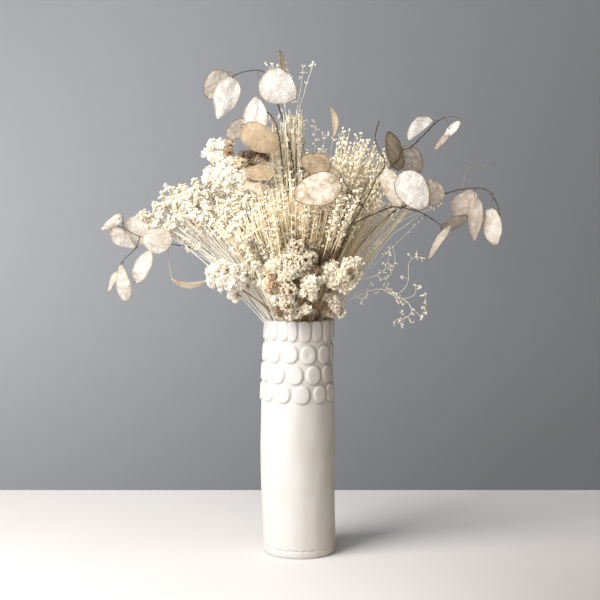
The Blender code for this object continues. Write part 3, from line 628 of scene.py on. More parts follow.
class Growth:
    """Gathers the triangles of one piece, with the number of the finish that each has."""

    def __init__(self) -> None:
        """Starts empty."""
        self.points: list[Array] = []
        self.triangles: list[Array] = []
        self.finishes: list[Array] = []
        self.values: dict[str, list[Array]] = {TONE: [], EDGE: [], SEED: []}
        self.count = 0

    def add(self, points: Array, triangles: Array, finish: int, **values: Any) -> None:
        """Adds a mesh.

        Args:
            points: its points.
            triangles: three point numbers to a row.
            finish: the number of its finish.
            values: tone, edge or seed, as one number or one for each point.
        """
        self.points.append(points)
        self.triangles.append(triangles + self.count)
        self.finishes.append(np.full(len(triangles), finish))
        for name, kept in self.values.items():
            kept.append(np.broadcast_to(np.asarray(values.get(name, 0.0), float), len(points)))
        self.count += len(points)

    def strew(
        self, kinds: Sequence[Shape], places: Array, ways: Array, sizes: Array, tones: Array, rng: Rng
    ) -> None:
        """Adds one of several shapes at each place, in finish 1.

        Args:
            kinds: the shapes to pick from.
            places: where the origin of each copy goes.
            ways: where the +Z of each copy points.
            sizes: how large each copy is.
            tones: the tone of each copy.
            rng: picks the shapes and their rolls.
        """
        which = rng.integers(0, len(kinds), len(places))
        for kind, shape in enumerate(kinds):
            own = which == kind
            count = own.sum()
            turns = facing(ways[own], rng.uniform(0, math.tau, count))
            points = np.einsum("kij,nj->kni", turns, shape.points) * sizes[own, None, None]
            points = (points + places[own, None]).reshape(-1, 3)
            offsets = np.arange(count)[:, None, None] * len(shape.points)
            triangles = (shape.triangles + offsets).reshape(-1, 3)
            self.add(points, triangles, 1, tone=(tones[own, None] + shape.shade).ravel())

    def tubes(self, lines: Array, radii: Any, sides: int, tones: Any = 0.0) -> None:
        """Adds capped tubes in finish 0.

        Args:
            lines: the points of each tube, as many for each.
            radii: one radius, one for each point, or a row of them for each tube.
            sides: how many sides a tube has.
            tones: one tone, or one for each tube.
        """
        tubes, stations = lines.shape[:2]
        radii = np.broadcast_to(radii, (tubes, stations))
        along = unit(np.gradient(lines, axis=1))
        helper = np.where(np.abs(along[:, 0, 2:]) < 0.8, [[0.0, 0.0, 1.0]], [[1.0, 0.0, 0.0]])
        side = unit(np.cross(along[:, 0], helper))
        angles = np.arange(sides)[:, None] * math.tau / sides
        rings = []
        for station in range(stations):
            ahead = along[:, station]
            side = unit(side - ahead * (side * ahead).sum(1, keepdims=True))
            ring = side[:, None] * np.cos(angles) + np.cross(ahead, side)[:, None] * np.sin(angles)
            rings.append(lines[:, station, None] + ring * radii[:, station, None, None])
        points = np.stack(rings, axis=1).reshape(-1, 3)
        pattern = tube_triangles(stations, sides)
        offsets = np.arange(tubes)[:, None, None] * stations * sides
        triangles = (pattern[None] + offsets).reshape(-1, 3)
        tone = np.repeat(np.broadcast_to(tones, tubes), stations * sides)
        self.add(points, triangles, 0, tone=tone)

    def piece(self, name: str) -> Piece:
        """One mesh object of everything gathered.

        Args:
            name: the object's name.

        Returns:
            The object, linked into the scene.
        """
        points = np.vstack(self.points).astype(np.float32)
        triangles = np.vstack(self.triangles).astype(np.int32)
        mesh = bpy.data.meshes.new(name)
        mesh.vertices.add(len(points))
        mesh.vertices.foreach_set("co", points.ravel())
        mesh.loops.add(triangles.size)
        mesh.loops.foreach_set("vertex_index", triangles.ravel())
        mesh.polygons.add(len(triangles))
        mesh.polygons.foreach_set("loop_start", np.arange(0, triangles.size, 3, dtype=np.int32))
        mesh.polygons.foreach_set("material_index", np.concatenate(self.finishes).astype(np.int32))
        mesh.polygons.foreach_set("use_smooth", np.ones(len(triangles), bool))
        for kind, kept in self.values.items():
            numbers = np.concatenate(kept).astype(np.float32)
            if numbers.any():
                mesh.attributes.new(kind, "FLOAT", "POINT").data.foreach_set("value", numbers)
        mesh.update(calc_edges=True)
        return placed(name, mesh)


def placed(name: str, data: Any) -> Piece:
    """A new object that shows this data, linked into the scene."""
    made = bpy.data.objects.new(name, data)
    bpy.context.scene.collection.objects.link(made)
    return made


def tube_triangles(stations: int, sides: int) -> Array:
    """The triangles of one capped tube whose points are in rings.

    Args:
        stations: how many rings there are.
        sides: how many points a ring has.

    Returns:
        Three point numbers to a row.
    """
    walls = grid_triangles(stations, sides, True)
    last = (stations - 1) * sides
    caps = []
    for step in range(1, sides - 1):
        caps.append((0, step + 1, step))
        caps.append((last, last + step, last + step + 1))
    return np.vstack([walls, np.array(caps)])


def grid_triangles(rows: int, columns: int, closed: bool) -> Array:
    """The triangles of a grid of points, row after row.

    Args:
        rows: how many rows there are.
        columns: how many points a row has.
        closed: whether each row's end meets its start.

    Returns:
        Three point numbers to a row.
    """
    strips = columns if closed else columns - 1
    row, column = np.meshgrid(np.arange(rows - 1), np.arange(strips), indexing="ij")
    a = (row * columns + column).ravel()
    b = (row * columns + (column + 1) % columns).ravel()
    return np.vstack([np.stack([a, b, b + columns], 1), np.stack([a, b + columns, a + columns], 1)])


def ruffled_cup(rng: Rng, depth: float = 1.0, notch_reach: float = 0.60) -> Shape:
    """A statice flower: a funnel with a crumpled lip and a crumpled throat.

    Args:
        rng: gives the crumples.
        depth: how much darker the throat and the foot are than the lip.
        notch_reach: how far out the notches between the petals are.

    Returns:
        The shape, about one unit in radius, rooted at the origin.
    """
    five, ten = np.arange(5) * math.tau / 5, np.arange(10) * math.tau / 10
    reach = np.where(np.arange(10) % 2, notch_reach, 1.08) * rng.uniform(0.8, 1.2, 10)
    rise = np.where(np.arange(10) % 2, 1.10, 0.95) + rng.uniform(-0.35, 0.35, 10)
    inner = spun(0.46, five + 0.6, 1.12) + rng.uniform(-0.1, 0.1, (5, 3))
    points = np.vstack([[[0, 0, 0]], spun(0.36, five, 0.62), spun(reach, ten, rise), inner, [[0, 0, 0.7]]])
    throat, lip, inside = 1, 6, 16
    triangles = []
    for petal in range(5):
        after = (petal + 1) % 5
        near, next_ = throat + petal, throat + after
        edge, notch, far = lip + 2 * petal, lip + 2 * petal + 1, lip + 2 * after
        triangles += [(0, next_, near), (near, next_, notch), (near, notch, edge), (next_, far, notch)]
        triangles.append((len(points) - 1, inside + petal, inside + after))
    shade = np.concatenate([[0.6], np.full(5, 0.28), np.full(10, 0.0), np.full(5, 0.05), [0.2]]) * depth
    return Shape(points, np.array(triangles), shade)


def round_bead(sides: int = 5) -> Shape:
    """A seed bead, one unit in radius, rooted a little behind its middle."""
    angles = np.arange(sides) * math.tau / sides
    rings = [spun(0.85, angles, 0.45), spun(0.80, angles + 0.6, 1.25)]
    points = np.vstack([[[0, 0, -0.1]], *rings, [[0, 0, 1.8]]])
    triangles = []
    for side in range(sides):
        after = (side + 1) % sides
        triangles.append((0, 1 + after, 1 + side))
        triangles.append((1 + side, 1 + after, 1 + sides + side))
        triangles.append((1 + after, 1 + sides + after, 1 + sides + side))
        triangles.append((2 * sides + 1, 1 + sides + side, 1 + sides + after))
    shade = np.concatenate([[0.4], np.full(sides, 0.15), np.zeros(sides), [-0.1]])
    return Shape(points, np.array(triangles), shade)


def husk() -> Shape:
    """A straw seed: a spindle about four units long and one across."""
    ring = [(0.5, 0, 1.6), (0, 0.32, 1.7), (-0.5, 0, 1.6), (0, -0.32, 1.5)]
    points = np.array([(0, 0, -0.2), *ring, (0.1, 0, 4.0)])
    sides = [(side, (side + 1) % 4) for side in range(4)]
    triangles = [(0, 1 + b, 1 + a) for a, b in sides] + [(5, 1 + a, 1 + b) for a, b in sides]
    return Shape(points, np.array(triangles), np.array([0.4, 0.1, 0.1, 0.1, 0.1, -0.1]))


# Sub-assemblies


class Assembly:
    """What the sub-assemblies share: how a mesh becomes a piece of the part, and how a twig grows."""

    @staticmethod
    def dress(
        growth: Growth, name: str, finishes: Sequence[Finish], slot: str, node: str
    ) -> Piece:
        """Makes a piece, gives it its finishes, and lets it stand for its CAD node.

        Args:
            growth: all its triangles.
            name: its name.
            finishes: its finishes in the order that its faces count them.
            slot: not used.
            node: the CAD node that it stands for.

        Returns:
            The piece.
        """
        piece = growth.piece(name)
        for finish in finishes:
            piece.data.materials.append(finish.material())
        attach(piece, BODY)
        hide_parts(node)
        log.info("%s: %d triangles", name, len(piece.data.polygons))
        return piece

    @staticmethod
    def add_twig(
        wood: Growth, line: Array, first: float, last: float, rng: Rng, tone: float
    ) -> None:
        """Adds a twig with knobs, and short stubs where pedicels broke off.

        Args:
            wood: what it is added to.
            line: its points.
            first: its radius at the start.
            last: its radius at the end.
            rng: gives the knobs their places.
            tone: how dark it is.
        """
        stations = len(line)
        line = line.copy()
        line[2:-1] += rng.normal(0, 0.16 * MM, (max(stations - 3, 0), 3))
        radii = np.linspace(first, last, stations)
        knobs = np.arange(6, stations - 3, 7)
        knobs = knobs + rng.integers(-2, 3, len(knobs))
        radii[knobs] *= rng.uniform(1.25, 1.6, len(knobs))
        wood.tubes(line[None], radii, 6, tone)
        ahead = unit(np.gradient(line, axis=0))
        stubs = knobs[rng.random(len(knobs)) < 0.6]
        if len(stubs):
            out = unit(np.cross(ahead[stubs], rng.normal(0, 1, (len(stubs), 3))))
            way = unit(out + ahead[stubs] * 0.7)
            length = rng.uniform(1.5, 5.0, (len(stubs), 1)) * MM
            ends = line[stubs] + way * length
            bends = line[stubs] + way * length * 0.5 + out * 0.2 * MM
            radii = np.array([0.40, 0.28, 0.16]) * MM
            wood.tubes(np.stack([line[stubs], bends, ends], 1), radii, 4, tone)


@dataclass(frozen=True)
class Pad:
    """A pad of clay pressed on to the wall: its angle from the front towards +X in degrees, sizes in mm."""

    angle: float
    height: float
    half_width: float
    half_height: float
    dimple: float = 0.0
    roundness: float = 2.2


@dataclass
class Vase(Assembly):
    """The hand-built vase: a slightly bowed wall, a pressed foot seam, and rows of discs under tongues."""

    height: float = 260.0
    floor: float = 8.0
    neck_inside: float = 33.2
    inside_taper: float = 1.2
    inside_rings: int = 14
    lip: float = 1.2
    segments: int = 224
    wall: tuple = ((0, 38.4), (0.8, 39.3), (2.2, 39.9), (4.5, 40.3), (7.0, 40.4), (8.5, 39.6), (10.0, 40.4),
                   (14, 40.5), (120.0, 41.2), (168, 40.2), (260, 36.9))
    foot_top: float = 14.0
    pads_from: float = 166.0
    ring_steps: tuple = (0.7, 5.0, 0.85)
    seam_level: float = 9.0
    seam_half: float = 1.1
    relief: float = 1.9
    shoulder: float = 0.20
    dimple_reach: float = 0.30
    # width of the painted shade round the pads' edges
    groove_shade_reach: float = 0.12
    blend: float = 6
    bow: float = 1.9
    wobble: float = 0.30
    notch: float = 1.1
    dents: tuple = ((92, 219, 34, 26, -1.6), (92, 180, 26, 11, 0.9), (-90, 118, 50, 60, 0.8))
    tongues: tuple = ((-11, 5.9), (10, 7.0), (31, 6.3), (51, 5.8))
    tongue_level: float = 249.0
    tongue_half: float = 12.0
    tongue_roundness: float = 2.6
    first_back_tongue: float = 72
    tongue_spacing: float = 20.1
    back_tongues: int = 14
    rows: tuple = ((223.7, (-14, 16, 46)), (201.6, (-35, -5, 25, 54)), (180.6, (-24, 6, 37, 62)))
    row_places: int = 14
    smooth_side: tuple = (76, 112)
    slot: str = "ceramic"

    def pads(self) -> list[Pad]:
        """Every tongue and disc: those of the front as drawn, the rest spaced round the back."""
        rng = np.random.default_rng(3)
        found = []
        steps = range(self.back_tongues)
        tongues = [*self.tongues, *zip(
            [self.first_back_tongue + self.tongue_spacing * step for step in steps],
            rng.uniform(5.5, 6.5, self.back_tongues),
        )]
        for angle, width in tongues:
            level = self.tongue_level + rng.uniform(-0.6, 0.6)
            half = self.tongue_half + rng.uniform(-0.5, 0.5)
            found.append(Pad(angle, level, width, half, roundness=self.tongue_roundness))
        for height, front in self.rows:
            rest = np.linspace(front[-1], front[0] + 360, self.row_places - len(front))[1:-1]
            for index, angle in enumerate([*front, *rest]):
                if self.smooth_side[0] < angle < self.smooth_side[1]:
                    continue
                dimple = 0.40 if height > 210 and index < 2 else rng.uniform(0.04, 0.18)
                sizes = rng.uniform(9.0, 9.9), rng.uniform(10.2, 11.0)
                found.append(Pad(angle, height + rng.uniform(-0.7, 0.7), *sizes, dimple))
        return found

    def pressed(self, angles: Array, heights: Array, radius: Array) -> tuple[Array, Array]:
        """What the pads do to a grid of angles and heights.

        Args:
            angles: the angle of each place.
            heights: its height.
            radius: the wall's radius there.

        Returns:
            How far the pads stand out, and how near the foot of a pad's edge it is, each from 0 to 1; the
            second paints shade into the grooves.
        """
        raised, groove_shade = np.zeros_like(angles), np.zeros_like(angles)
        for pad in self.pads():
            apart = (angles - math.radians(pad.angle) + math.pi) % math.tau - math.pi
            across = np.abs(apart * radius / pad.half_width)
            along = np.abs((heights - pad.height) / pad.half_height)
            distance = (across ** pad.roundness + along ** pad.roundness) ** (1 / pad.roundness)
            top = eased((1 - distance) / self.shoulder) * (1.0 - 0.10 * distance ** 2)
            top -= pad.dimple * np.exp(-((distance / self.dimple_reach) ** 2))
            raised += np.clip(top, 0, None) ** self.blend
            # painted shade at the foot of each pad's edge
            groove_shade = np.maximum(groove_shade, np.exp(-(((distance - 1.0) / self.groove_shade_reach) ** 2)))
        return raised ** (1 / self.blend), groove_shade

    def build(self) -> list[Piece]:
        """Makes the vase's one mesh and dresses it."""
        shoulder = self.height - self.lip
        stops = (0.0, self.foot_top, self.pads_from, shoulder)
        heights = [np.arange(low, high, step) for low, high, step in zip(stops, stops[1:], self.ring_steps)]
        heights = np.concatenate([*heights, [shoulder]])
        turn = np.arange(self.segments) * math.tau / self.segments
        angles, levels = np.meshgrid(turn, heights)
        radius = np.interp(levels, *zip(*self.wall))
        rise, groove_shade = self.pressed(angles, levels, radius)
        rough = np.random.default_rng(5).normal(0, 1, levels.shape)
        seam = np.exp(-(((levels - self.seam_level) / self.seam_half) ** 2))
        radius += self.relief * rise + self.uneven(angles, levels) + 0.13 * rough * seam
        radius += 0.35 * seam * np.sin(angles * 23 + 2 * np.sin(angles * 5))
        centre = -self.bow * np.sin(math.pi * np.clip(levels / self.height, 0, 1))
        rings = [self.ring(radius[row], centre[row, 0], heights[row], turn) for row in range(len(heights))]
        top, edge = radius[-1], self.notch * (1 - rise[-1])
        profile = []
        for share in (0.35, 0.7, 1.0):
            profile.append((top - self.lip * share ** 2, shoulder - edge + self.lip * share))
        profile.append((self.neck_inside + self.lip, self.height - edge * 0.7))
        profile.append((self.neck_inside + 0.3, self.height - self.lip * 0.5 - edge * 0.5))
        for level in np.linspace(self.height - self.lip * 1.6, self.floor, self.inside_rings):
            wider = self.inside_taper * (self.height - level) / self.height
            profile.append((self.neck_inside + wider, level))
        for reach, level in profile:
            rings.append(self.ring(np.broadcast_to(reach, top.shape), 0, level, turn))
        count = len(rings)
        points = np.vstack([*rings, [[0, 0, self.floor * MM], [0, 0, 0]]])
        walls = grid_triangles(count, self.segments, True)
        step = np.arange(self.segments)
        after, last = (step + 1) % self.segments, (count - 1) * self.segments
        inner = np.stack([np.full(self.segments, len(points) - 2), last + step, last + after], 1)
        under = np.stack([np.full(self.segments, len(points) - 1), after, step], 1)
        growth = Growth()
        # the tone of the vase is the groove mask: painted shade in the grooves round the pads
        tones = np.zeros(len(points))
        tones[:groove_shade.size] = groove_shade.ravel()
        growth.add(points, np.vstack([walls, inner, under]), 0, tone=tones)
        return [self.dress(growth, "vase_body", [CERAMIC], self.slot, "vase")]

    def uneven(self, angles: Array, levels: Array) -> Array:
        """The slight unevenness of a wall that was built by hand, in millimetres."""
        slow = np.sin(2 * angles + levels / 47) + 0.7 * np.sin(3 * angles - levels / 31 + 1)
        quick = 0.35 * np.sin(7 * angles + levels / 19 + 2) + 0.25 * np.sin(11 * angles - levels / 14)
        total = self.wobble * (slow + quick) * np.clip(levels / 30, 0.2, 1)
        for angle, height, half_angle, half_height, depth in self.dents:
            apart = (np.degrees(angles) - angle + 180) % 360 - 180
            total += depth * np.exp(-((apart / half_angle) ** 2) - ((levels - height) / half_height) ** 2)
        return total

    @staticmethod
    def ring(radius: Array, shift: float, level: Any, turn: Array) -> Array:
        """The points of one ring, in metres. Angle 0 is the front, and +X is to its right."""
        high = np.broadcast_to(level, radius.shape)
        return np.stack([radius * np.sin(turn) + shift, -radius * np.cos(turn), high], 1) * MM


def neck_place(node: str) -> Array:
    """Where the stem of a CAD node passes the neck, read off the foot that it stands on."""
    vertices = frame_points(node)
    foot = vertices[vertices[:, 2] < vertices[:, 2].min() + 0.5 * MM]
    place = foot.mean(0) / FOOT_SHARE
    place[2] = FORK_HEIGHT
    return place


def frame_points(node: str) -> Array:
    """The points of a CAD node's mesh, in metres."""
    mesh = bpy.data.objects[node].data
    points = np.empty(len(mesh.vertices) * 3, np.float32)
    mesh.vertices.foreach_get("co", points)
    return points.reshape(-1, 3).astype(float)


def rooted(node: str, route: Sequence[Point]) -> Array:
    """A stem's route in metres: its foot on the vase's floor, its place in the neck, and on.

    Args:
        node: the CAD node that holds the stem.
        route: the points above the neck, in millimetres.

    Returns:
        The points.
    """
    place = neck_place(node)
    foot = np.array([place[0] * FOOT_SHARE, place[1] * FOOT_SHARE, STEM_FOOT])
    return np.vstack([foot, place, *(np.array(point) * MM for point in route)])


@dataclass(frozen=True)
class Pod:
    """One seed disc, in mm and degrees: heading is clockwise from up, turn is about its length."""

    centre: Point
    length: float
    width: float
    heading: float
    turn: float
    look: PodLook
    fold: float = 0.0
    curl: float = 0.0
    seeds: int = 0
    rim: float = 0.6
    egg: float = 0.13
    pinch: float = 0.0
    veiled: bool = False

    def axes(self) -> tuple[Array, Array, Array]:
        """The directions of the pod's tip, its side and its face."""
        heading, turn = math.radians(self.heading), math.radians(self.turn)
        tip = np.array([math.sin(heading), 0.0, math.cos(heading)])
        front = np.array([0.0, -1.0, 0.0])
        face = front * math.cos(turn) + np.cross(tip, front) * math.sin(turn)
        return tip, np.cross(tip, face), face

    def base(self) -> Array:
        """Where the pedicel meets the disc, in metres."""
        return np.array(self.centre) * MM - self.axes()[0] * self.length / 2 * MM


@dataclass
class Honesty(Assembly):
    """One branch of honesty: a knobbly brown twig, and papery discs with hard rims on thin pedicels."""

    name: str
    route: Sequence[Point]
    pods: Sequence[Pod]
    twigs: Sequence[Sequence[Point]] = ()
    spurs: Sequence[Sequence[Point]] = ()
    seed: int = 1
    twig_radius: float = 1.05 * MM
    tip_radius: float = 0.60 * MM
    pedicel_radius: float = 0.32 * MM
    rim_radius: float = 0.36 * MM
    seed_mark: float = 1.5 * MM
    dish: float = 1.3 * MM
    step: float = 1.6 * MM
    lowest_pedicel: float = FORK_HEIGHT + 30 * MM
    rings: int = 10
    spokes: int = 56
    slots: tuple = ("stems", "pods")

    def build(self) -> list[Piece]:
        """Makes the twig and the discs, and dresses them."""
        rng = np.random.default_rng(self.seed)
        wood, paper = Growth(), Growth()
        stem = rooted(self.name, self.route)
        lines = [smoothed(stem[1:], self.step)]
        self.add_twig(wood, np.vstack([stem[:1], lines[0]]), self.twig_radius, self.tip_radius, rng, 0.75)
        for twig in self.twigs:
            line = smoothed(np.array(twig) * MM, self.step)
            self.add_twig(wood, line, self.twig_radius * 0.8, self.tip_radius * 0.8, rng, 0.8)
            lines.append(line)
        for spur in self.spurs:
            line = smoothed(np.array(spur) * MM, self.step)
            self.add_twig(wood, line, self.tip_radius, self.pedicel_radius, rng, 0.35)
        carriers = np.vstack([line[line[:, 2] > self.lowest_pedicel] for line in lines])
        looks = list(dict.fromkeys(pod.look for pod in self.pods))
        for pod in self.pods:
            self.add_pedicel(wood, pod, carriers)
            self.add_pod(paper, pod, looks.index(pod.look) + 1, rng)
        finishes = [RIM, *[look.value for look in looks]]
        return [
            self.dress(wood, self.name + "_twig", [TWIG], self.slots[0], self.name),
            self.dress(paper, self.name + "_pods", finishes, self.slots[1], self.name),
        ]

    def add_pedicel(self, wood: Growth, pod: Pod, carriers: Array) -> None:
        """Adds the thread from the twig to the disc, and the whisker at the disc's tip.

        Args:
            wood: what they are added to.
            pod: the disc.
            carriers: the places on the twigs where a pedicel may start.
        """
        tip, _, face = pod.axes()
        base = pod.base()
        ways = base - carriers
        far = np.linalg.norm(ways, axis=1)
        cost = far * (1.7 - (ways * tip).sum(1) / np.maximum(far, 1e-9)) + np.where(far < 3 * MM, 1, 0)
        start = carriers[cost.argmin()]
        bend = base - tip * far[cost.argmin()] * 0.4
        line = arcs(start[None], bend[None], (base + tip * MM)[None], np.linspace(0, 1, 8))
        wood.tubes(line, np.linspace(self.pedicel_radius * 1.25, self.pedicel_radius, 8), 5, 0.6)
        end = np.array(pod.centre) * MM + tip * pod.length * 0.52 * MM
        whisker = np.array([end - tip * 1.5 * MM, end + tip * MM + face * 0.2 * MM, end + tip * 2.8 * MM])
        wood.tubes(whisker[None], np.array([0.30, 0.2, 0.12]) * MM, 4, 0.45)

    def add_pod(self, paper: Growth, pod: Pod, finish: int, rng: Rng) -> None:
        """Adds one disc and its rim.

        Args:
            paper: what they are added to.
            pod: the disc.
            finish: the number of its paper.
            rng: gives its waves and the marks of its seeds.
        """
        tip, side, face = pod.axes()
        centre = np.array(pod.centre) * MM
        turn = np.arange(self.spokes) * math.tau / self.spokes
        shares = np.linspace(0, 1, self.rings + 1)[1:] ** 0.85
        point = 0.07 * np.maximum(np.cos(turn), 0) ** 8
        long, wide = pod.length * MM / 2, pod.width * MM / 2
        ruffle = 1 + 0.012 * np.sin(5 * turn + rng.uniform(0, 6))
        ruffle += 0.010 * np.sin(9 * turn + rng.uniform(0, 6))
        edge_along = long * (np.cos(turn) + point) * ruffle
        end = np.clip(np.cos(turn) * math.copysign(1, pod.pinch), 0, 1) ** 2
        narrowed = (1 - pod.egg * np.cos(turn)) * (1 - abs(pod.pinch) * end)
        edge_across = wide * np.sin(turn) * narrowed * ruffle
        along = np.concatenate([[0], (shares[:, None] * edge_along).ravel()])
        across = np.concatenate([[0], (shares[:, None] * edge_across).ravel()])
        share = np.concatenate([[0], np.repeat(shares, self.spokes)])
        waves = self.waves(along / long, across / wide, rng)
        lift = self.dish * (1 - share ** 2) + waves * (0.35 + 0.65 * share) * MM
        if pod.fold:
            angle = math.radians(pod.fold)
            bent = np.maximum(across, 0) if angle > 0 else np.minimum(across, 0)
            lift = lift - np.abs(bent) * math.sin(abs(angle))
            across = across - bent * (1 - math.cos(angle))
        lift = lift - pod.curl * long * (along / long) ** 2
        points = centre + tip * along[:, None] + side * across[:, None] + face * lift[:, None]
        spoke = np.arange(self.spokes)
        fan = np.stack([np.zeros(self.spokes, int), 1 + (spoke + 1) % self.spokes, 1 + spoke], 1)
        mesh = np.vstack([fan, grid_triangles(self.rings, self.spokes, True) + 1])
        marks = np.zeros(len(points))
        for _ in range(pod.seeds):
            high, right = rng.uniform(-0.5, 0.45) * long, rng.uniform(-0.5, 0.5) * wide
            off = ((along - high) ** 2 + (across - right) ** 2) / self.seed_mark ** 2
            marks = np.maximum(marks, np.exp(-off))
        paper.add(points, mesh, finish, edge=share, seed=marks)
        rim = points[-self.spokes:]
        paper.tubes(np.vstack([rim, rim[:1]])[None], self.rim_radius, 5, pod.rim)

    @staticmethod
    def waves(along: Array, across: Array, rng: Rng) -> Array:
        """Slow waves and small crumples over a disc, about a millimetre high."""
        total = np.zeros_like(along)
        for height, pace in ((0.8, 1.7), (0.6, 3.2), (0.25, 6.5)):
            for _ in range(2):
                way = rng.uniform(0, math.tau)
                ahead = along * math.cos(way) + across * math.sin(way)
                total += height * np.sin(pace * ahead * 2 + rng.uniform(0, math.tau))
        return total * 0.62


@dataclass
class StrapLeaf(Assembly):
    """A dry strap leaf on a thin stalk. Unless told otherwise it hangs from the left branch of honesty."""

    name: str = "honesty_left_leaf"
    node: str = "honesty_left"
    stalk: tuple = ((-141, -22, 344), (-142, -22, 326), (-138, -23, 305))
    blade: tuple = ((-139, -23, 306), (-131, -24, 301), (-119, -25, 299), (-107, -26, 301), (-99, -27, 305))
    across: Point = (0.25, -0.55, 0.8)
    face: Point = (0.1, -0.8, -0.55)
    width: float = 9 * MM
    ribs: int = 7
    slot: str = "pods"
    finish: Finish = DRY_LEAF

    def build(self) -> list[Piece]:
        """Makes the leaf and dresses it."""
        growth = Growth()
        thread = smoothed(np.array(self.stalk) * MM, 2 * MM)
        growth.tubes(thread[None], 0.35 * MM, 5, 0.6)
        spine = smoothed(np.array(self.blade) * MM, 1.1 * MM)
        share = np.linspace(0, 1, len(spine))[:, None, None]
        half = self.width / 2 * np.sin(math.pi * (0.06 + 0.9 * share)) ** 0.8
        out = np.linspace(-1, 1, self.ribs)[None, :, None]
        across, face = unit(np.array(self.across)), unit(np.array(self.face))
        ripple = 0.25 * MM * np.sin(share * 31 + out * 2)
        points = spine[:, None] + across * half * out + face * (np.abs(out) * 0.13 * self.width + ripple)
        tone = (0.35 + 0.25 * np.sin(share * 9) + 0.3 * np.abs(out)).ravel()
        growth.add(points.reshape(-1, 3), grid_triangles(len(spine), self.ribs, False), 0, tone=tone)
        return [self.dress(growth, self.name, [self.finish], self.slot, self.node)]


@dataclass(frozen=True)
class Florets:
    """The florets of a head: spacing and radius in mm, finish, form, and the tone of a core like them."""

    spacing: float
    size: float
    finish: Finish
    depth: float = 1.0
    notch_reach: float = 0.46
    core_tone: float | None = None


class HeadLook(Enum):
    """The kinds of flower head. Only ruffled and creamy ones have a core in the florets' own finish."""

    STARRY = Florets(3.1, 2.75, YARROW_BLOOM)
    RUFFLED = Florets(4.0, 3.6, STATICE_BLOOM, 0.6, 0.60, 0.15)
    CREAMY = Florets(3.5, 3.1, CREAM_BLOOM, 0.6, 0.60, 0.62)
    BROWN = Florets(1.7, 0.95, BROWN_BLOOM)


Lobe = tuple[float, float, float, float, float]


@dataclass(frozen=True)
class Head:
    """One flower head: its lobes as (x, y, z, radius, tone) in mm, and the way it faces."""

    name: str
    lobes: Sequence[Lobe]
    way: Point
    look: HeadLook = HeadLook.STARRY


def dome(centre: Point, radius: float, count: int) -> list[Lobe]:
    """The lobes of a round head.

    Args:
        centre: its middle, in millimetres.
        radius: its radius.
        count: how many lobes it has.

    Returns:
        The lobes.
    """
    rng = np.random.default_rng(int(abs(centre[0]) * 7 + centre[2]))
    middles = np.array(centre) + scattered(count, rng) * radius * 0.58
    sizes = rng.uniform(0.42, 0.56, count) * radius
    return [(*middle, size, rng.uniform(0, 0.15)) for middle, size in zip(middles, sizes)]


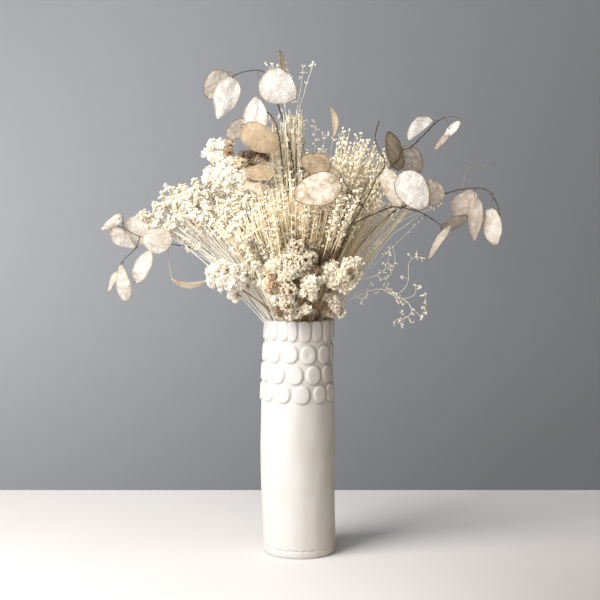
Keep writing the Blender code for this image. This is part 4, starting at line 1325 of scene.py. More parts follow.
@dataclass
class Yarrow(Assembly):
    """One yarrow stem: it branches above the neck, and each branch ends in a lobed head of florets."""

    name: str
    fork: Point
    heads: Sequence[Head]
    seed: int = 1
    stem_radius: float = 1.15 * MM
    branch_radius: float = 0.8 * MM
    seat_depth: float = 13 * MM
    core_share: float = 0.76
    pale_core_share: float = 0.72
    dark_shade: float = 0.6
    step: float = 2 * MM
    slots: tuple = ("stems", "florets")

    def build(self) -> list[Piece]:
        """Makes the stem and the heads, and dresses them."""
        rng = np.random.default_rng(self.seed)
        wood = Growth()
        fork = np.array(self.fork) * MM
        stem = rooted(self.name + "_stem", [self.fork])
        whole = np.vstack([stem[:1], smoothed(stem[1:], self.step)])
        self.add_twig(wood, whole, self.stem_radius, self.stem_radius * 0.9, rng, 0.55)
        pieces = []
        for head in self.heads:
            way = unit(np.array(head.way))
            middle = np.array(head.lobes)[:, :3].mean(0) * MM
            seat = middle - way * self.seat_depth
            below = seat - way * self.seat_depth * 0.8
            line = smoothed(np.stack([stem[1] * 0.15 + fork * 0.85, below, seat]), self.step)
            self.add_twig(wood, line, self.branch_radius, self.branch_radius * 0.8, rng, 0.55)
            growth = self.grow_head(head, way, seat, rng)
            name = f"{self.name}_head_{head.name}"
            finishes = [STEM, head.look.value.finish, CORE_BROWN_AND_SHADE]
            pieces.append(self.dress(growth, name + "_florets", finishes, self.slots[1], name))
        return [*pieces, self.dress(wood, self.name + "_wood", [STEM], self.slots[0], self.name + "_stem")]

    def grow_head(self, head: Head, way: Array, seat: Array, rng: Rng) -> Growth:
        """Grows one head: lobes of florets over brown branchlets, round a small core; a dark core is brown
        branchlets and painted shade that shows between the florets.

        Args:
            head: the head.
            way: the way it faces.
            seat: where its branch ends.
            rng: gives the florets their places.

        Returns:
            The growth, with wood as finish 0, florets as finish 1 and dark cores, brown and painted shade,
            as finish 2.
        """
        look = head.look.value
        growth = Growth()
        rows = np.array(head.lobes, float)
        centres, radii, shades = rows[:, :3] * MM, rows[:, 3] * MM, rows[:, 4]
        reach = np.abs(centres - centres.mean(0)).max() + radii.max()
        kinds = [husk()]
        if head.look is not HeadLook.BROWN:
            kinds = [ruffled_cup(rng, look.depth, look.notch_reach) for _ in range(FLORET_KINDS)]
        for lobe, (centre, radius, shade) in enumerate(zip(centres, radii, shades)):
            local = scattered(int(4 * math.pi * (radius / MM / look.spacing) ** 2), rng)
            outward = (centre - centres.mean(0)) / reach + way * 0.8
            local = local[local @ outward > -0.45]
            spots = centre + local * radius * rng.uniform(0.72, 1.15, (len(local), 1))
            apart = np.linalg.norm(spots[:, None] - centres[None], axis=2) / radii
            apart[:, lobe] = 2
            kept = apart.min(1) > 0.82
            spots, local = spots[kept], local[kept]
            lean = unit(local + rng.normal(0, 0.40, local.shape))
            sizes = rng.uniform(0.72, 1.2, len(spots)) * look.size * MM
            tones = shade + rng.gamma(1.1, 0.09, len(spots)) - 0.03
            growth.strew(kinds, spots - lean * (sizes * 0.9)[:, None], lean, sizes, tones, rng)
            if look.core_tone is not None and shade < self.dark_shade:
                self.add_core(growth, centre, radius * self.pale_core_share, 1, look.core_tone, rng)
            else:
                # a dark core: brown branchlets and painted shade between the florets
                self.add_core(growth, centre, radius * self.core_share, 2, 0.7 + shade * 0.4, rng)
        starts = np.broadcast_to(seat, centres.shape)
        bends = (starts + centres) / 2 + way * 1.2 * MM
        growth.tubes(np.stack([starts, bends, centres], 1), np.array([0.65, 0.55, 0.45]) * MM, 5, 0.6)
        return growth

    @staticmethod
    def add_core(growth: Growth, centre: Array, radius: float, finish: int, tone: float, rng: Rng) -> None:
        """Adds the rough middle of a lobe, where the branchlets crowd together; a dark one is also painted
        shade in the gaps between the florets.

        Args:
            growth: what it is added to.
            centre: its middle.
            radius: about how far it reaches.
            finish: the number of its finish.
            tone: how deep its tone is.
            rng: gives its roughness.
        """
        rows, columns = 7, 10
        tilts, turns = np.linspace(0.15, math.pi - 0.15, rows), np.arange(columns) * math.tau / columns
        tilt, round_ = np.meshgrid(tilts, turns, indexing="ij")
        local = spun(np.sin(tilt), round_, -np.cos(tilt)).reshape(-1, 3)
        local = local * rng.uniform(0.75, 1.15, (rows * columns, 1))
        growth.add(centre + local * radius, grid_triangles(rows, columns, True), finish, tone=tone)


class Clearing:
    """Keeps the space before the discs and heads free, so that no flower hides them. Depths are mm."""

    back_side = 40
    slack = 5

    def __init__(self, branches: Sequence[Honesty], yarrows: Sequence[Yarrow]) -> None:
        """Notes the outline of each disc and head, as it is seen from the side that it is on.

        Args:
            branches: the branches of honesty.
            yarrows: the yarrow stems.
        """
        rows = []
        for pod in (pod for branch in branches for pod in branch.pods if not pod.veiled):
            rows.append((*pod.centre, pod.length / 2 + 1, pod.width / 2 + 1, math.radians(pod.heading)))
        for lobe in (lobe for yarrow in yarrows for head in yarrow.heads for lobe in head.lobes):
            rows.append((*lobe[:3], lobe[3], lobe[3], 0.0))
        self.rows = np.array(rows)

    def free(self, points: Array) -> Array:
        """Which points don't stand before a disc or a head.

        Args:
            points: the points, in metres.

        Returns:
            True for each that is free.
        """
        x, y, z, long, wide, heading = self.rows.T
        right, back, up = (points[:, axis, None] / MM - middle for axis, middle in enumerate((x, y, z)))
        along = (right * np.sin(heading) + up * np.cos(heading)) / long
        across = (right * np.cos(heading) - up * np.sin(heading)) / wide
        before = np.where(y < self.back_side, back < self.slack, back > -self.slack)
        return ~((along ** 2 + across ** 2 < 1) & before).any(1)


class Bloom(Enum):
    """The forms of flower and seed that a spray bears."""

    CUP = "cup"
    BEAD = "bead"
    HUSK = "husk"


@dataclass(frozen=True)
class Habit:
    """How a kind of spray grows. Lengths are mm, shares are of the stalk's length from the neck."""

    clumps: int
    stalks: int
    radii: tuple[float, float]
    first_twig: float
    twigs: int
    twig_length: tuple[float, float]
    blooms: int
    cluster: float
    bloom_size: tuple[float, float]
    bloom: Bloom = Bloom.CUP
    stalk_finish: Finish = WHITE_STALK
    bloom_finish: Finish = STATICE_BLOOM
    slot: str = "statice"
    rise: float = 0.26
    lean: float = 0.17
    shortest: float = 0.72
    widen: float = 1.0
    out: float = 0.8
    tone: float = 0.1
    jitter: float = 0.045
    low_twigs: int = 0
    lowest: float = 0.5


class SprayKind(Enum):
    """The kinds of spray in the vase."""

    STATICE = Habit(
        clumps=15, stalks=3, radii=(0.50, 0.35), first_twig=0.85, twigs=7, twig_length=(4, 8), blooms=3,
        cluster=2.7, bloom_size=(1.7, 2.8), widen=1.12, tone=-0.1, shortest=0.66, jitter=0.035, low_twigs=1,
        lowest=0.42,
    )
    FINE_STATICE = Habit(
        clumps=26, stalks=5, radii=(0.90, 0.38), first_twig=0.50, twigs=7, twig_length=(3, 6), blooms=2,
        cluster=1.6, bloom_size=(1.3, 2.1), stalk_finish=GOLD_STALK, widen=1.2, out=0.45, jitter=0.03,
        tone=-0.05,
    )
    BROOM = Habit(
        clumps=24, stalks=4, radii=(0.75, 0.26), first_twig=0.76, twigs=8, twig_length=(3, 7), blooms=2,
        cluster=1.3, bloom_size=(1.1, 1.6), bloom=Bloom.BEAD, stalk_finish=GOLD_STALK,
        bloom_finish=CREAM_BEAD, slot="broom", widen=1.15, shortest=0.82, out=0.6, jitter=0.025, tone=0.0,
    )
    LOOSE_BROOM = replace(
        BROOM, clumps=9, stalks=3, radii=(0.54, 0.26), first_twig=0.90, twigs=4, twig_length=(3, 6),
        blooms=1, cluster=1.0, bloom_size=(0.9, 1.3), widen=0.75, shortest=0.8, out=0.5, jitter=0.03,
        tone=0.1,
    )
    TUFTED = Habit(
        clumps=0, stalks=2, radii=(0.62, 0.45), first_twig=0.945, twigs=5, twig_length=(2.5, 4.5), blooms=5,
        cluster=2.9, bloom_size=(1.5, 2.6), tone=-0.15, low_twigs=1, lowest=0.74,
    )
    STRAW = Habit(
        clumps=30, stalks=3, radii=(1.25, 0.55), first_twig=0.40, twigs=12, twig_length=(2.5, 6), blooms=4,
        cluster=2.0, bloom_size=(1.3, 2.2), bloom=Bloom.HUSK, stalk_finish=GOLD_STALK,
        bloom_finish=STRAW_HUSK, slot="straw", rise=0.32, shortest=0.62, out=0.45, jitter=0.035, tone=-0.2,
    )


@dataclass
class Spray(Assembly):
    """One bunch of fine stalks: they rise from its place in the neck, lean out and flower at their tips."""

    name: str
    reach: Point
    spread: float
    kind: SprayKind
    seed: int = 1
    ends: Sequence[Point] = ()
    ripe: float = 0.0
    trunk_radius: float = 1.3 * MM
    stations: int = 9
    gathered: float = 2.4 * MM
    end_jitter: float = 1.9 * MM
    bend_jitter: float = 3 * MM
    rim_height: float = 260 * MM

    def build(self, clearing: Clearing) -> list[Piece]:
        """Makes the stalks and their flowers, and dresses them.

        Args:
            clearing: what no flower may hide.

        Returns:
            The one piece.
        """
        rng = np.random.default_rng(self.seed)
        habit = self.kind.value
        growth = Growth()
        trunk = rooted(self.name, [])
        growth.tubes(trunk[None], self.trunk_radius, 6, 0.4)
        starts, bends, tips = self.curves(trunk[1], rng)
        lines = arcs(starts, bends, tips, np.linspace(0, 1, self.stations))
        open_ = clearing.free(lines[:, 3:].reshape(-1, 3)).reshape(len(lines), -1).all(1)
        starts, bends, tips, lines = starts[open_], bends[open_], tips[open_], lines[open_]
        radii = np.linspace(habit.radii[0], habit.radii[1], self.stations) * MM
        tones = habit.tone + self.ripe + rng.uniform(0, 0.55, len(lines))
        growth.tubes(lines, radii, 4, tones)
        self.add_twigs(growth, (starts, bends, tips), tones, clearing, rng)
        finishes = [habit.stalk_finish, habit.bloom_finish]
        return [self.dress(growth, self.name + "_flowers", finishes, habit.slot, self.name)]

    def curves(self, place: Array, rng: Rng) -> tuple[Array, Array, Array]:
        """The start, bend and tip of each stalk.

        Args:
            place: where the bunch passes the neck.
            rng: gives each stalk its own.

        Returns:
            Three arrays of points.
        """
        habit = self.kind.value
        reach = np.array(self.reach) * MM
        length = np.linalg.norm(reach)
        index = np.arange(habit.clumps) + 0.5
        off = math.radians(self.spread) * habit.widen * np.sqrt(index / habit.clumps)
        round_ = index * GOLDEN_TURN + rng.normal(0, 0.25, habit.clumps)
        local = spun(np.sin(off), round_, np.cos(off))
        count = habit.clumps * habit.stalks
        ways = np.repeat(local @ facing(reach[None], np.zeros(1))[0].T, habit.stalks, 0)
        ways = unit(ways + rng.normal(0, habit.jitter, ways.shape))
        longer = np.repeat(rng.uniform(habit.shortest, 0.95, (habit.clumps, 1)) ** 0.8, habit.stalks, 0)
        longer = longer * rng.uniform(0.95, 1.02, (count, 1))
        tips = np.array([0, 0, self.rim_height]) + ways * length * longer
        if self.ends:
            count = len(self.ends) * habit.stalks
            tips = np.repeat(np.array(self.ends) * MM, habit.stalks, 0)
            tips = tips + rng.normal(0, self.end_jitter, (count, 3))
        turn = rng.uniform(0, math.tau, count)
        off = self.gathered * np.sqrt(rng.random(count))
        starts = place + spun(off, turn, rng.uniform(-30, -4, count) * MM)
        across = tips - starts
        up = np.zeros_like(across)
        up[:, 2] = np.linalg.norm(across, axis=1)
        across[:, 2] = 0
        loose = rng.normal(0, self.bend_jitter, starts.shape)
        return starts, starts + up * habit.rise + across * habit.lean + loose, tips

    def add_twigs(
        self, growth: Growth, curves: tuple[Array, Array, Array], tones: Array, clearing: Clearing, rng: Rng
    ) -> None:
        """Adds the side twigs of every stalk, and the flowers on them.

        Args:
            growth: what they are added to.
            curves: the stalks.
            tones: the tone of each stalk.
            clearing: what no flower may hide.
            rng: gives each twig its own.
        """
        habit = self.kind.value
        starts, bends, tips = curves
        count = len(tips)
        chance = rng.random((count, habit.twigs))
        spaced = (np.arange(habit.twigs) + chance) / habit.twigs
        share = habit.first_twig + (1 - habit.first_twig) * spaced ** 0.8
        low = habit.low_twigs
        share[:, :low] = habit.lowest + (habit.first_twig - habit.lowest) * chance[:, :low] ** 0.6
        share[:, -1] = 1.0
        roots = arcs(starts, bends, tips, share)
        t = share[:, :, None]
        ahead = unit((bends - starts)[:, None] * (1 - t) + (tips - bends)[:, None] * t)
        loose = rng.normal(0, 1, roots.shape)
        out = unit(loose - ahead * (loose * ahead).sum(2, keepdims=True))
        way = unit(ahead + out * habit.out * rng.uniform(0.5, 1.3, (count, habit.twigs, 1)))
        short, long = habit.twig_length
        length = long + (short - long) * np.clip(t - habit.first_twig, 0, 1) / (1 - habit.first_twig)
        length = length * rng.uniform(0.7, 1.25, length.shape) * MM
        length[:, -1] *= 0.5
        ends = roots + way * length
        middle = roots + way * length * 0.5 + out * length * 0.08
        lines = np.stack([roots, middle, ends], 2).reshape(-1, 3, 3)
        open_ = clearing.free(lines[:, 2])
        lines, shades = lines[open_], np.repeat(tones, habit.twigs)[open_]
        growth.tubes(lines, np.array([0.9, 0.75, 0.6]) * habit.radii[1] * MM, 3, shades)
        self.add_blooms(growth, lines[:, 2], unit(way + ahead).reshape(-1, 3)[open_], rng)

    def add_blooms(self, growth: Growth, ends: Array, ways: Array, rng: Rng) -> None:
        """Adds a small cluster of flowers at each twig's end.

        Args:
            growth: what they are added to.
            ends: where the twigs end.
            ways: the way that each twig points.
            rng: gives each flower its own.
        """
        habit = self.kind.value
        places = np.repeat(ends, habit.blooms, 0)
        ahead = np.repeat(ways, habit.blooms, 0)
        shift = rng.normal(0, 1, places.shape)
        shift *= (rng.random((len(places), 1)) ** 0.4) / np.linalg.norm(shift, axis=1, keepdims=True)
        shift[:: habit.blooms] *= 0.1
        places = places + shift * habit.cluster * MM - ahead * habit.bloom_size[0] * 0.5 * MM
        way = unit(ahead + shift * 0.9)
        sizes = rng.uniform(*habit.bloom_size, len(places)) * MM
        tones = rng.gamma(1.1, 0.13, len(places))
        tones = tones + np.repeat(rng.uniform(-0.05, 0.15, len(ends)), habit.blooms)
        cups = [ruffled_cup(rng) for _ in range(CUP_KINDS)]
        kinds = {Bloom.CUP: cups, Bloom.BEAD: [round_bead()], Bloom.HUSK: [husk()]}[habit.bloom]
        growth.strew(kinds, places, way, sizes, tones, rng)


@dataclass
class Wisp(Assembly):
    """A drooping stem with fine side twigs that end in cream beads."""

    name: str
    route: Sequence[Point]
    tips: Sequence[Point]
    threads: Sequence[Sequence[Point]] = ()
    seed: int = 1
    radius: float = 0.50 * MM
    sprigs: int = 2
    bead: tuple[float, float] = (1.0, 1.75)
    slot: str = "broom"
    stalk: Finish = GOLD_STALK

    def build(self) -> list[Piece]:
        """Makes the wisp and dresses it."""
        rng = np.random.default_rng(self.seed)
        growth = Growth()
        stem = rooted(self.name, self.route)
        line = smoothed(stem[1:], 3 * MM)
        line[3:] += rng.normal(0, 0.25 * MM, line[3:].shape)
        whole = np.vstack([stem[:1], line])
        growth.tubes(whole[None], np.linspace(self.radius * 1.2, self.radius * 0.7, len(whole)), 5, 0.1)
        carriers = [line[10:]]
        for thread in self.threads:
            route = smoothed(np.array(thread) * MM, 2 * MM)
            growth.tubes(route[None], np.linspace(0.36, 0.22, len(route)) * MM, 4)
            carriers.append(route)
        carriers = np.vstack(carriers)
        ends, ways = [], []
        for point in self.tips:
            tip = np.array(point) * MM
            root = carriers[np.linalg.norm(carriers - tip, axis=1).argmin()]
            sag = np.array([rng.normal(0, 0.5), rng.normal(0, 0.5), 0.6]) * MM
            twig = arcs(root[None], ((root + tip) / 2 + sag)[None], tip[None], np.linspace(0, 1, 6))
            growth.tubes(twig, np.linspace(0.24, 0.17, 6) * MM, 4, 0.1)
            places = twig[0][rng.integers(3, 6, self.sprigs)]
            loose = unit(rng.normal(0, 1, places.shape) + unit(tip - root) * 0.9)
            far = places + loose * rng.uniform(1.8, 4.0, (self.sprigs, 1)) * MM
            sprigs = np.stack([places, (places + far) / 2 + [0, 0, 0.2 * MM], far], 1)
            growth.tubes(sprigs, np.array([0.2, 0.17, 0.14]) * MM, 3, 0.1)
            ends += [tip[None], far]
            ways += [unit(tip - root)[None], loose]
        ends, ways = np.vstack(ends), np.vstack(ways)
        sizes = rng.uniform(*self.bead, len(ends)) * MM * np.where(np.arange(len(ends)) % 3, 0.75, 1.0)
        tones = rng.gamma(1.1, 0.12, len(ends))
        growth.strew([round_bead()], ends - ways * sizes[:, None], ways, sizes, tones, rng)
        return [self.dress(growth, self.name + "_sprig", [self.stalk, CREAM_BEAD], self.slot, self.name)]


# What stands in the vase


W, C, P, O, T, B, U, G, D = (
    PodLook.WHITE, PodLook.CREAM, PodLook.PEARL, PodLook.OPAL, PodLook.TAN, PodLook.BROWN, PodLook.TAUPE,
    PodLook.GREY, PodLook.DARK,
)

HONESTY = [
    Honesty(
        "honesty_top_left",
        [(-3, -8, 300), (-4, -10, 401), (-12, -12, 454), (-21, -14, 487), (-30, -16, 513),
         (-38, -14, 528), (-54, -8, 530), (-69, -4, 526), (-80, -4, 518)],
        [Pod((-90, 2, 516), 34, 29, -140, 14, G, rim=0.9),
         Pod((-80, -10, 501), 45, 26, -159, -8, W, rim=0.2, egg=0.2, pinch=0.4),
         Pod((-23, -27, 510.5), 40, 36, 117, 10, W, rim=0.3, egg=0.2),
         Pod((-19, 0, 540), 24, 11, -11, 62, T)],
        seed=21,
    ),
    Honesty(
        "honesty_left_centre",
        [(-12, -20, 330), (-15, -20, 380), (-19, -20, 433), (-25, -21, 470), (-36, -20, 485),
         (-50, -20, 482), (-56, -24, 472)],
        [Pod((-47, -25, 480), 37, 25.5, 0, -10, W, rim=0.2, pinch=0.12),
         Pod((-43, -38, 456), 43, 29, 120, 12, T, rim=0.5),
         Pod((-67, -16, 466), 26, 22, -127, 20, G, rim=0.8),
         Pod((-42, -47, 420), 30, 18, -86, 20, T, 20, rim=0.2)],
        seed=22,
    ),
    Honesty(
        "honesty_front_right",
        [(20, -13, 285), (36, -17, 312), (46, -32, 341), (54, -60, 364), (66, -64, 383), (80, -54, 411),
         (91, -40, 429), (81, -32, 454), (85, -28, 475)],
        [Pod((19, -72, 401), 49, 34, -105, 0, C, rim=0.85),
         Pod((17, -54, 429), 31, 26, -76, 18, B, 12, rim=1),
         Pod((97, -34, 404), 43, 26, 156, 30, C, 25, rim=0.3),
         Pod((167, -30, 365), 30, 19, 62, 35, U, 20, rim=0.8),
         Pod((147, -37, 348), 40, 21, -148, 58, U, 60, 0.12, rim=0.3)],
        [[(66, -64, 383), (54, -68, 398), (46, -72, 410)],
         [(54, -60, 364), (68, -60, 371), (90, -50, 380), (103, -40, 383), (130, -34, 377),
          (151, -34, 364)]],
        [[(84, -32, 455), (76, -34, 444), (75, -36, 436), (80, -38, 426)]],
        seed=23,
    ),
    Honesty(
        "honesty_upper_right",
        [(34, -2, 310), (64, -10, 370), (96, -18, 422), (107, -12, 434), (111, -8, 444), (124, -4, 450),
         (145, 0, 471), (158, 0, 481)],
        [Pod((103, -12, 443), 41, 26, -16, 42, D, rim=1),
         Pod((121, 0, 434), 33, 27, 143, 15, G, seeds=2, rim=0.9),
         Pod((120, -46, 401), 44, 33, 147, 8, W, seeds=1, rim=0.75),
         Pod((133, -6, 465), 34, 30, -128, -10, W, -80, seeds=1, rim=0.7),
         Pod((167, 2, 469), 22, 14, -137, 40, W, 20), Pod((155, 2, 455), 22, 12, -140, 50, U, 20)],
        seed=24,
    ),
    Honesty(
        "honesty_far_right",
        [(32, -4, 290), (60, 4, 332), (98, 4, 373), (130, -14, 390), (156, -20, 397), (176, -20, 402),
         (200, -22, 402), (212, -24, 388), (216, -26, 373)],
        [Pod((144, -28, 398.5), 28, 23.5, -10, 20, C, rim=0.4),
         Pod((180, -18, 387), 33, 31, -150, 25, U, 15, rim=0.5, egg=-0.45),
         Pod((188, -29, 370), 45, 19, 180, 30, U, 20, rim=0.5, egg=0.3, pinch=0.5),
         Pod((207, -31, 362), 38, 22.5, 171, 30, P, rim=0.4, egg=0.05, pinch=0.2)],
        spurs=[[(176, -20, 402), (178, -19, 410), (183, -18, 424), (195, -18, 426), (209, -17, 430)]],
        seed=25,
    ),
    Honesty(
        "honesty_left",
        [(-22, -8, 282), (-58, 3, 313), (-87, 4, 328), (-121, -12, 339), (-140, -20, 343),
         (-173, -20, 351), (-189, -18, 359), (-200, -18, 363)],
        [Pod((-204, -20, 366), 26, 12, -125, 25, O, 15, rim=0.3, egg=0.4, pinch=0.4),
         Pod((-191, -24, 348), 30, 17, 126, 20, O, rim=0.4, egg=0.35, pinch=0.3),
         Pod((-173, -10, 358), 38, 30, -70, 8, P, rim=0.3, veiled=True),
         Pod((-153, -31, 347), 26, 32, 180, 10, O, rim=0.3, egg=0.08),
         Pod((-170, -20, 319), 38, 20, -153, 22, O, rim=0.4, egg=0, pinch=-0.4),
         Pod((-191, -26, 302), 38, 16.5, 172, 20, O, seeds=1, rim=0.4, egg=-0.3, pinch=-0.45),
         Pod((-203, -18, 302), 22, 8.5, -155, 40, O, rim=0.3, egg=0.3, pinch=0.5)],
        [[(-173, -20, 351), (-177, -22, 339), (-188, -24, 328), (-194, -24, 320)]],
        seed=26, twig_radius=0.8 * MM, tip_radius=0.42 * MM,
    ),
    Honesty(
        "honesty_back",
        [(4, 22, 300), (10, 62, 368), (12, 92, 412), (-4, 112, 436), (-30, 122, 444)],
        [Pod((22, 104, 424), 40, 32, 60, 170, W), Pod((-14, 118, 412), 42, 33, 190, 185, C),
         Pod((-44, 126, 432), 38, 28, -110, 170, T), Pod((-8, 112, 452), 34, 27, 20, 200, P)],
        seed=27,
    ),
]

LEAVES = [
    StrapLeaf(),
    StrapLeaf(
        "straw_tall_leaf", "straw_tall", ((20, 6, 330), (30, 4, 400), (35, 0, 446), (37, 0, 462)),
        ((37, 0, 460), (39, 0, 470), (38, 0, 482), (33, 0, 492)), (1, -0.25, 0.1), (0, -1, 0), 7 * MM,
        slot="straw",
    ),
    StrapLeaf(
        "statice_crown_leaf", "statice_crown_left", ((-30, 8, 340), (-30, 0, 370), (-27, -20, 396)),
        ((-25, -26, 399), (-34, -34, 402), (-44, -38, 403), (-53, -38, 406), (-61, -34, 411)),
        (0.05, -0.35, 1), (0, -0.95, -0.3), 11 * MM, slot="statice", finish=ROSY_LEAF,
    ),
]

STARRY, RUFFLED, CREAMY, BROWN = HeadLook.STARRY, HeadLook.RUFFLED, HeadLook.CREAMY, HeadLook.BROWN

YARROWS = [
    Yarrow("yarrow_left", (-44, -34, 282), [
        Head("a", [
            (-91, -36, 313, 8.6, 0), (-82, -34, 317, 8.6, 0), (-72, -38, 313, 8.6, 0),
            (-63, -34, 312, 8.6, 0.05), (-56, -34, 305, 6.4, 0.15), (-83, -40, 304, 8.6, 0),
            (-71, -42, 302, 9.6, 0), (-62, -40, 303, 7.5, 0.05), (-92, -38, 304, 6.4, 0.05),
            (-71, -38, 291, 6.4, 0.05), (-67, -38, 286, 4.3, 0.1), (-88, -44, 300, 2.2, 1),
            (-66, -42, 289, 2.2, 1), (-77, -45, 316, 2, 0.9), (-52, -36, 306, 3.2, 1),
            (-57, -42, 299, 2.2, 1),
        ], (-0.5, -0.7, 0.5), RUFFLED),
    ], seed=31),
    Yarrow("yarrow_front", (-6, -32, 274), [
        Head("a", [
            (-4, -56, 340, 8.5, 0.1), (4, -60, 326, 9.5, 0.15), (-10, -58, 329, 8.4, 0.1),
            (13, -56, 329, 6.3, 0.35), (16, -58, 315, 5.3, 0.75), (-7, -62, 316, 9.5, 0.05),
            (-3, -54, 348, 4.2, 0.9), (-15, -54, 335, 5.3, 0.45), (5, -58, 314, 5.3, 0.3),
            (-2, -52, 334, 5.0, 1.0), (9, -54, 320, 5.0, 1.0), (-14, -54, 322, 5.0, 1.0),
        ], (0.0, -0.8, 0.6)),
        Head("b", [
            (-26, -54, 321, 9.5, 0), (-36, -50, 316, 5.3, 0), (-30, -58, 311, 4.2, 0.7),
            (-25, -58, 298, 8.4, 0.8), (-17, -60, 308, 6.3, 0.1), (-34, -52, 302, 5.3, 0.35),
        ], (-0.3, -0.8, 0.5), CREAMY),
        Head("c", [
            (-12, -62, 295, 9.5, 0.2), (-23, -62, 285, 6.3, 0), (-12, -66, 281, 8.4, 0.12),
            (-3, -62, 272, 6.3, 0.1), (-21, -58, 273, 6.3, 0.8), (-30, -54, 289, 4.2, 0.2),
            (-10, -62, 270, 5.3, 0.15), (-18, -54, 293, 5.0, 1.0), (-12, -56, 274, 4.5, 0.9),
        ], (-0.3, -0.9, 0.2)),
        Head("d", [
            (12, -62, 302, 9.5, 0), (4, -62, 292, 4.2, 0.1), (14, -60, 290, 5.3, 0.1),
            (7, -60, 275, 5.3, 0.15), (-4, -52, 301, 5.0, 1.0), (20, -50, 302, 4.5, 1.0),
            (7, -54, 289, 4.0, 1.0), (14, -50, 276, 4.5, 0.95), (22, -58, 306, 4.2, 0.1),
        ], (0.15, -0.9, 0.4), CREAMY),
    ], seed=32),
    Yarrow("yarrow_right", (21, -27, 270), [
        Head("a", [
            (33, -50, 316, 9.6, 0), (36, -52, 304, 7.4, 0.02), (27, -50, 311, 5.3, 0.05),
            (53, -52, 320, 8.5, 0.05), (62, -48, 324, 5.3, 0), (60, -50, 312, 6.4, 0.05),
            (48, -50, 299, 6.4, 0), (46, -56, 311, 7.4, 0.1), (53, -60, 315, 3.6, 1.0),
            (56, -50, 303, 5.3, 0.05), (41, -48, 314, 5.0, 1.0), (54, -49, 309, 4.8, 1.0),
        ], (0.4, -0.75, 0.5), CREAMY),
        Head("b", [
            (36, -48, 283, 6.4, 0.05), (43, -46, 271, 6.4, 0), (38, -50, 276, 5.3, 0.1),
            (28, -48, 275, 5.3, 0.85), (30, -48, 286, 4.3, 0.2), (34, -48, 270, 4.3, 0.7),
        ], (0.5, -0.8, 0.2)),
        Head("c", [
            (29, -48, 332, 5.3, 1.1), (24, -48, 324, 5.3, 1), (35, -46, 336, 4.3, 0.9),
            (21, -46, 332, 4.3, 0.95),
        ], (0.2, -0.7, 0.7), BROWN),
    ], seed=33),
    Yarrow("yarrow_upper_left", (-56, -8, 392), [
        Head("a", [
            (-93, -12, 449, 6.5, 0), (-85, -12, 449, 6.5, 0), (-92, -12, 438, 7.6, 0),
            (-84, -14, 434, 8.7, 0.05), (-102, -10, 441, 3.3, 0), (-77, -20, 442, 4.4, 1),
            (-76, -12, 451, 4.4, 0.6), (-76, -18, 430, 7.6, 0.1),
        ], (-0.4, -0.6, 0.6), RUFFLED),
        Head("b", [
            (-84, -22, 418, 9.7, 0), (-74, -28, 415, 10.8, 0), (-64, -28, 414, 9.7, 0.05),
            (-64, -26, 427, 8.6, 0.62), (-58, -29, 416, 6.4, 0.5), (-99, -8, 422, 4.0, 0),
            (-94, -12, 419, 2.4, 1.0), (-88, -20, 408, 6.5, 0.1), (-59, -28, 404, 7.5, 0.05),
            (-72, -26, 403, 7.6, 0.1), (-99, -14, 414, 6.5, 0), (-94, -18, 408, 2.5, 1),
            (-96, -14, 424, 2.7, 0),
        ], (-0.3, -0.8, 0.4), RUFFLED),
        Head("c", [
            (-64, -22, 433, 3.8, 0.9), (-61, -22, 439, 4.3, 0.95), (-54, -20, 438, 5.4, 0.9),
            (-48, -18, 442, 5.4, 0.95), (-40, -18, 439, 4.3, 0.95), (-35, -18, 435, 3.3, 0.9),
            (-57, -22, 430, 5.4, 0.5),
        ], (0.0, -0.6, 0.8), BROWN),
    ], seed=34),
    Yarrow("yarrow_back", (0, 30, 280), [
        Head("a", dome((-34, 52, 302), 20, 9), (-0.4, 0.8, 0.5), RUFFLED),
        Head("b", dome((22, 56, 300), 20, 9), (0.3, 0.85, 0.4), RUFFLED),
        Head("c", dome((-16, 60, 336), 15, 8), (0.0, 0.7, 0.7)),
    ], seed=35),
]

STATICE, FINE, TUFTED = SprayKind.STATICE, SprayKind.FINE_STATICE, SprayKind.TUFTED
BROOM, LOOSE = SprayKind.BROOM, SprayKind.LOOSE_BROOM

FAR_LEFT_TUFTS = (
    (-170, -14, 374), (-164, -10, 374), (-160, -6, 386), (-155, -12, 382), (-149, -4, 387),
    (-154, -16, 374), (-147, -4, 394), (-139, -8, 391), (-143, 2, 404), (-133, 0, 402), (-127, -6, 403),
    (-122, -12, 398), (-115, -2, 409), (-111, -8, 405), (-117, -12, 400), (-121, -16, 390),
    (-129, -12, 393), (-133, -14, 387), (-126, -18, 382), (-134, -18, 376), (-138, -20, 368),
    (-141, -20, 361), (-129, -22, 372), (-118, -20, 383), (-111, -18, 394), (-104, -20, 389),
    (-99, -18, 395), (-94, -14, 400), (-111, -24, 378), (-161, -14, 365), (-153, -18, 364),
    (-118, -24, 373),
)
LEFT_FRONT_TUFTS = (
    (-101, -34, 383), (-95, -36, 380), (-103, -36, 373), (-92, -40, 370), (-86, -36, 388),
    (-85, -40, 378), (-78, -40, 385), (-77, -44, 373), (-71, -46, 366), (-70, -44, 379), (-63, -48, 361),
    (-64, -50, 350), (-58, -52, 342), (-74, -46, 358), (-61, -48, 372), (-52, -54, 334), (-52, -54, 350),
    (-47, -56, 323), (-54, -52, 361), (-83, -42, 367), (-63, -40, 399), (-54, -42, 395), (-58, -44, 388),
    (-46, -48, 384), (-70, -42, 391),
)

